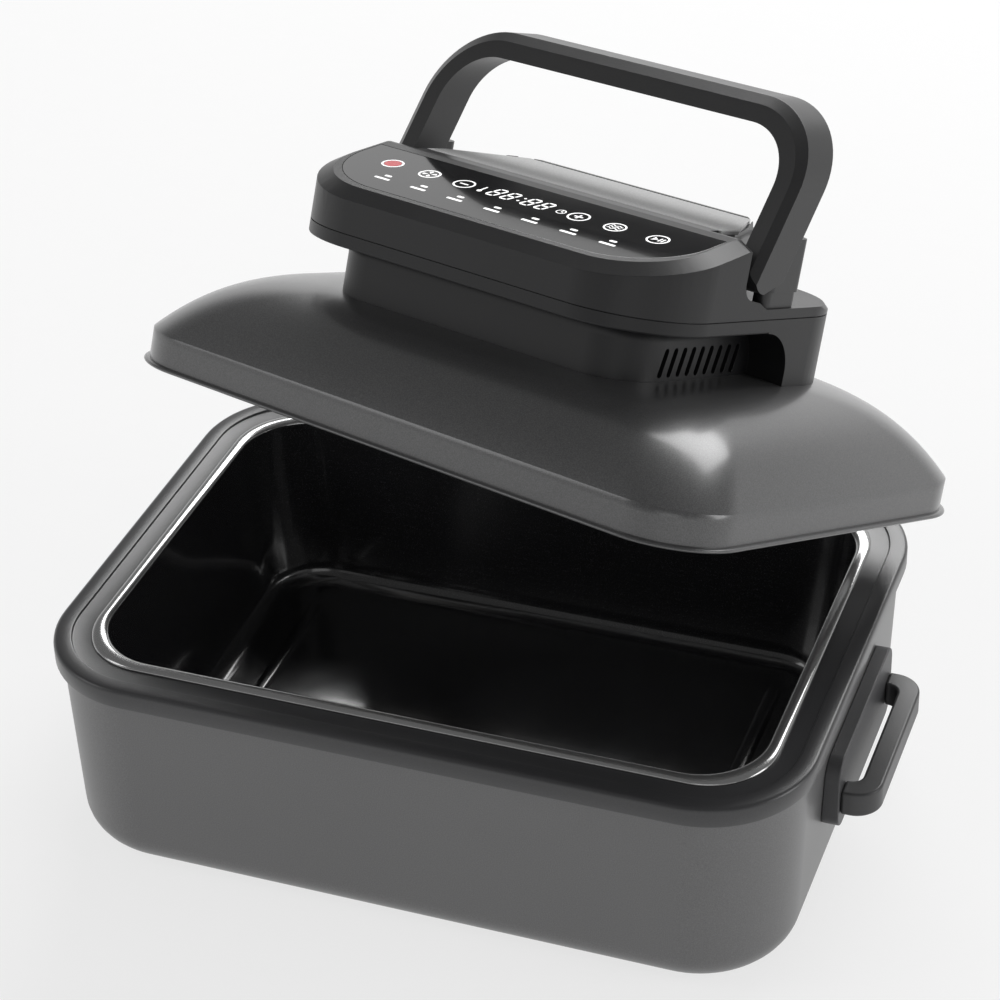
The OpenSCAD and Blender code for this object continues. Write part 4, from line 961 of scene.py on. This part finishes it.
def screw_head(radius, height):
    rows = [(0.02, -0.3), (radius * 0.94, -0.3), (radius, 0), (radius, height * 0.4), (radius * 0.86, height * 0.75),
            (radius * 0.55, height * 0.96), (0.02, height)]
    head = body_of(skin(turned(rows, 20)))
    t, w, deep = radius * 0.16, radius * 0.62, height * 0.45
    for p, q in ((w, t), (t, w)):
        slot_block = body_of(skin([[(-p, -q, z), (p, -q, z), (p, q, z), (-p, q, z)] for z in (deep, height + 1)]))
        head = cut_by(head, "DIFFERENCE", slot_block)
    return head


screw_tree = bpy.data.node_groups.new("screws", "GeometryNodeTree")
screw_tree.interface.new_socket("Points", in_out="INPUT", socket_type="NodeSocketGeometry")
screw_tree.interface.new_socket("Head", in_out="INPUT", socket_type="NodeSocketObject")
entry = screw_tree.nodes.new("NodeGroupInput")
driven = Graph(screw_tree)
head_shape = driven.node("GeometryNodeObjectInfo", None, {"Object": Sock(driven, entry.outputs["Head"])}, out=4)
twist = driven.node("FunctionNodeRandomValue", {"data_type": "FLOAT_VECTOR"},
                    {0: (0, 0, 0), 1: (0, 0, 1.6), "Seed": 7})
screws_set = driven.node("GeometryNodeInstanceOnPoints", None, {
    "Points": Sock(driven, entry.outputs["Points"]), "Instance": head_shape, "Rotation": twist})
close_tree(driven, screws_set, zinc)


def screws(name, points, radius, height, body_name, place, replaced):
    """Heads that face along +Z of the place's frame, at points in millimetres."""
    host = bpy.data.meshes.new(name)
    host.from_pydata([Vector(p) * MM for p in points], [], [])
    head = screw_head(radius, height)
    driven_in = grown(name, screw_tree, host, {"Head": head}, place, 30)
    bpy.data.objects.remove(head)
    return stand_for(driven_in, body_name, "fastener", zinc, *replaced)


UPSIDE = Matrix.Rotation(math.pi, 4, "X")
GUARD_R, GUARD_Z = 108, 5
at_guard = [((GUARD_R - 8) * math.cos(math.radians(a)), -(GUARD_R - 8) * math.sin(math.radians(a)), -GUARD_Z)
            for a in (45, 135, 225, 315)]
screws("guard_screw_heads", at_guard, 3.4, 2, "lid", LID @ UPSIDE, ["guard_screws"])
at_housing = [(x, -y, -(SEAM_Z - 4)) for x, y in ((-110, -40), (110, -40), (-60, 74), (60, 74))]
screws("housing_screw_heads", at_housing, 3.6, 2.5, "lid", LID @ UPSIDE, ["housing_screws"])
at_bracket = [(40 * math.cos(math.radians(a)), 40 * math.sin(math.radians(a)), 59) for a in (30, 150, 270)]
screws("bracket_nut_heads", at_bracket, 3.4, 2, "lid", LID, ["bracket_screws"])

# The parts inside the head keep their CAD shapes, with their real finishes: ceramic fibre, white ceramic,
# green board, dark display window, plated can and ground shaft.
fibre = Finish("ceramic fibre", Specular_IOR_Level=0.1)
wool = fibre.grain(260, 6, (1, 1, 5))
fibre.wear(fibre.mix((0.6, 0.57, 0.48), (0.82, 0.8, 0.72), wool), 0.85 + 0.1 * wool, wool, 0.0006, 0.8)
porcelain = Finish("white ceramic", Specular_IOR_Level=0.5)
pores = porcelain.grain(500, 3)
porcelain.wear(porcelain.mix((0.72, 0.7, 0.65), (0.8, 0.79, 0.75), pores), 0.5 + 0.2 * pores, pores, 0.00005, 0.4)
board = Finish("circuit board", Specular_IOR_Level=0.5)
tracks = board.ramp(board.grain(160, 0, (1, 6, 1)), [(0.48, 0), (0.52, 1)])
board.wear(board.mix((0.015, 0.12, 0.045), (0.03, 0.2, 0.08), tracks), 0.35 + 0.1 * tracks, tracks, 0.00004, 0.5)
window = Finish("display window", Specular_IOR_Level=0.5)
cells = window.grain(900, 1)
window.wear(window.mix((0.015, 0.015, 0.018), (0.03, 0.03, 0.034), cells), 0.12 + 0.08 * cells)
socket_plastic = moulded("inlet plastic", (0.012, 0.012, 0.012), (0.022, 0.022, 0.022), 0.4)
steel = sheet_metal("plain steel", (0.5, 0.51, 0.52), (0.66, 0.67, 0.68), 0.24, (3, 3, 12))
for key, finish_used in (("insulation_pad", fibre.material), ("element_clips", steel),
                         ("element_terminals", porcelain.material), ("temperature_probe", steel),
                         ("control_board", board.material), ("power_board", board.material),
                         ("display_module", window.material), ("motor_bracket", steel),
                         ("handle_screws", zinc), ("side_handle_screws", zinc), ("motor_can", steel),
                         ("motor_shaft", steel)):
    cad[key].data.materials.clear()
    cad[key].data.materials.append(finish_used)
inlet = dressed("mains_inlet", "power_inlet", 0.4, 2)
stand_for(inlet, "lid", "inlet_plastic", socket_plastic, "power_inlet")
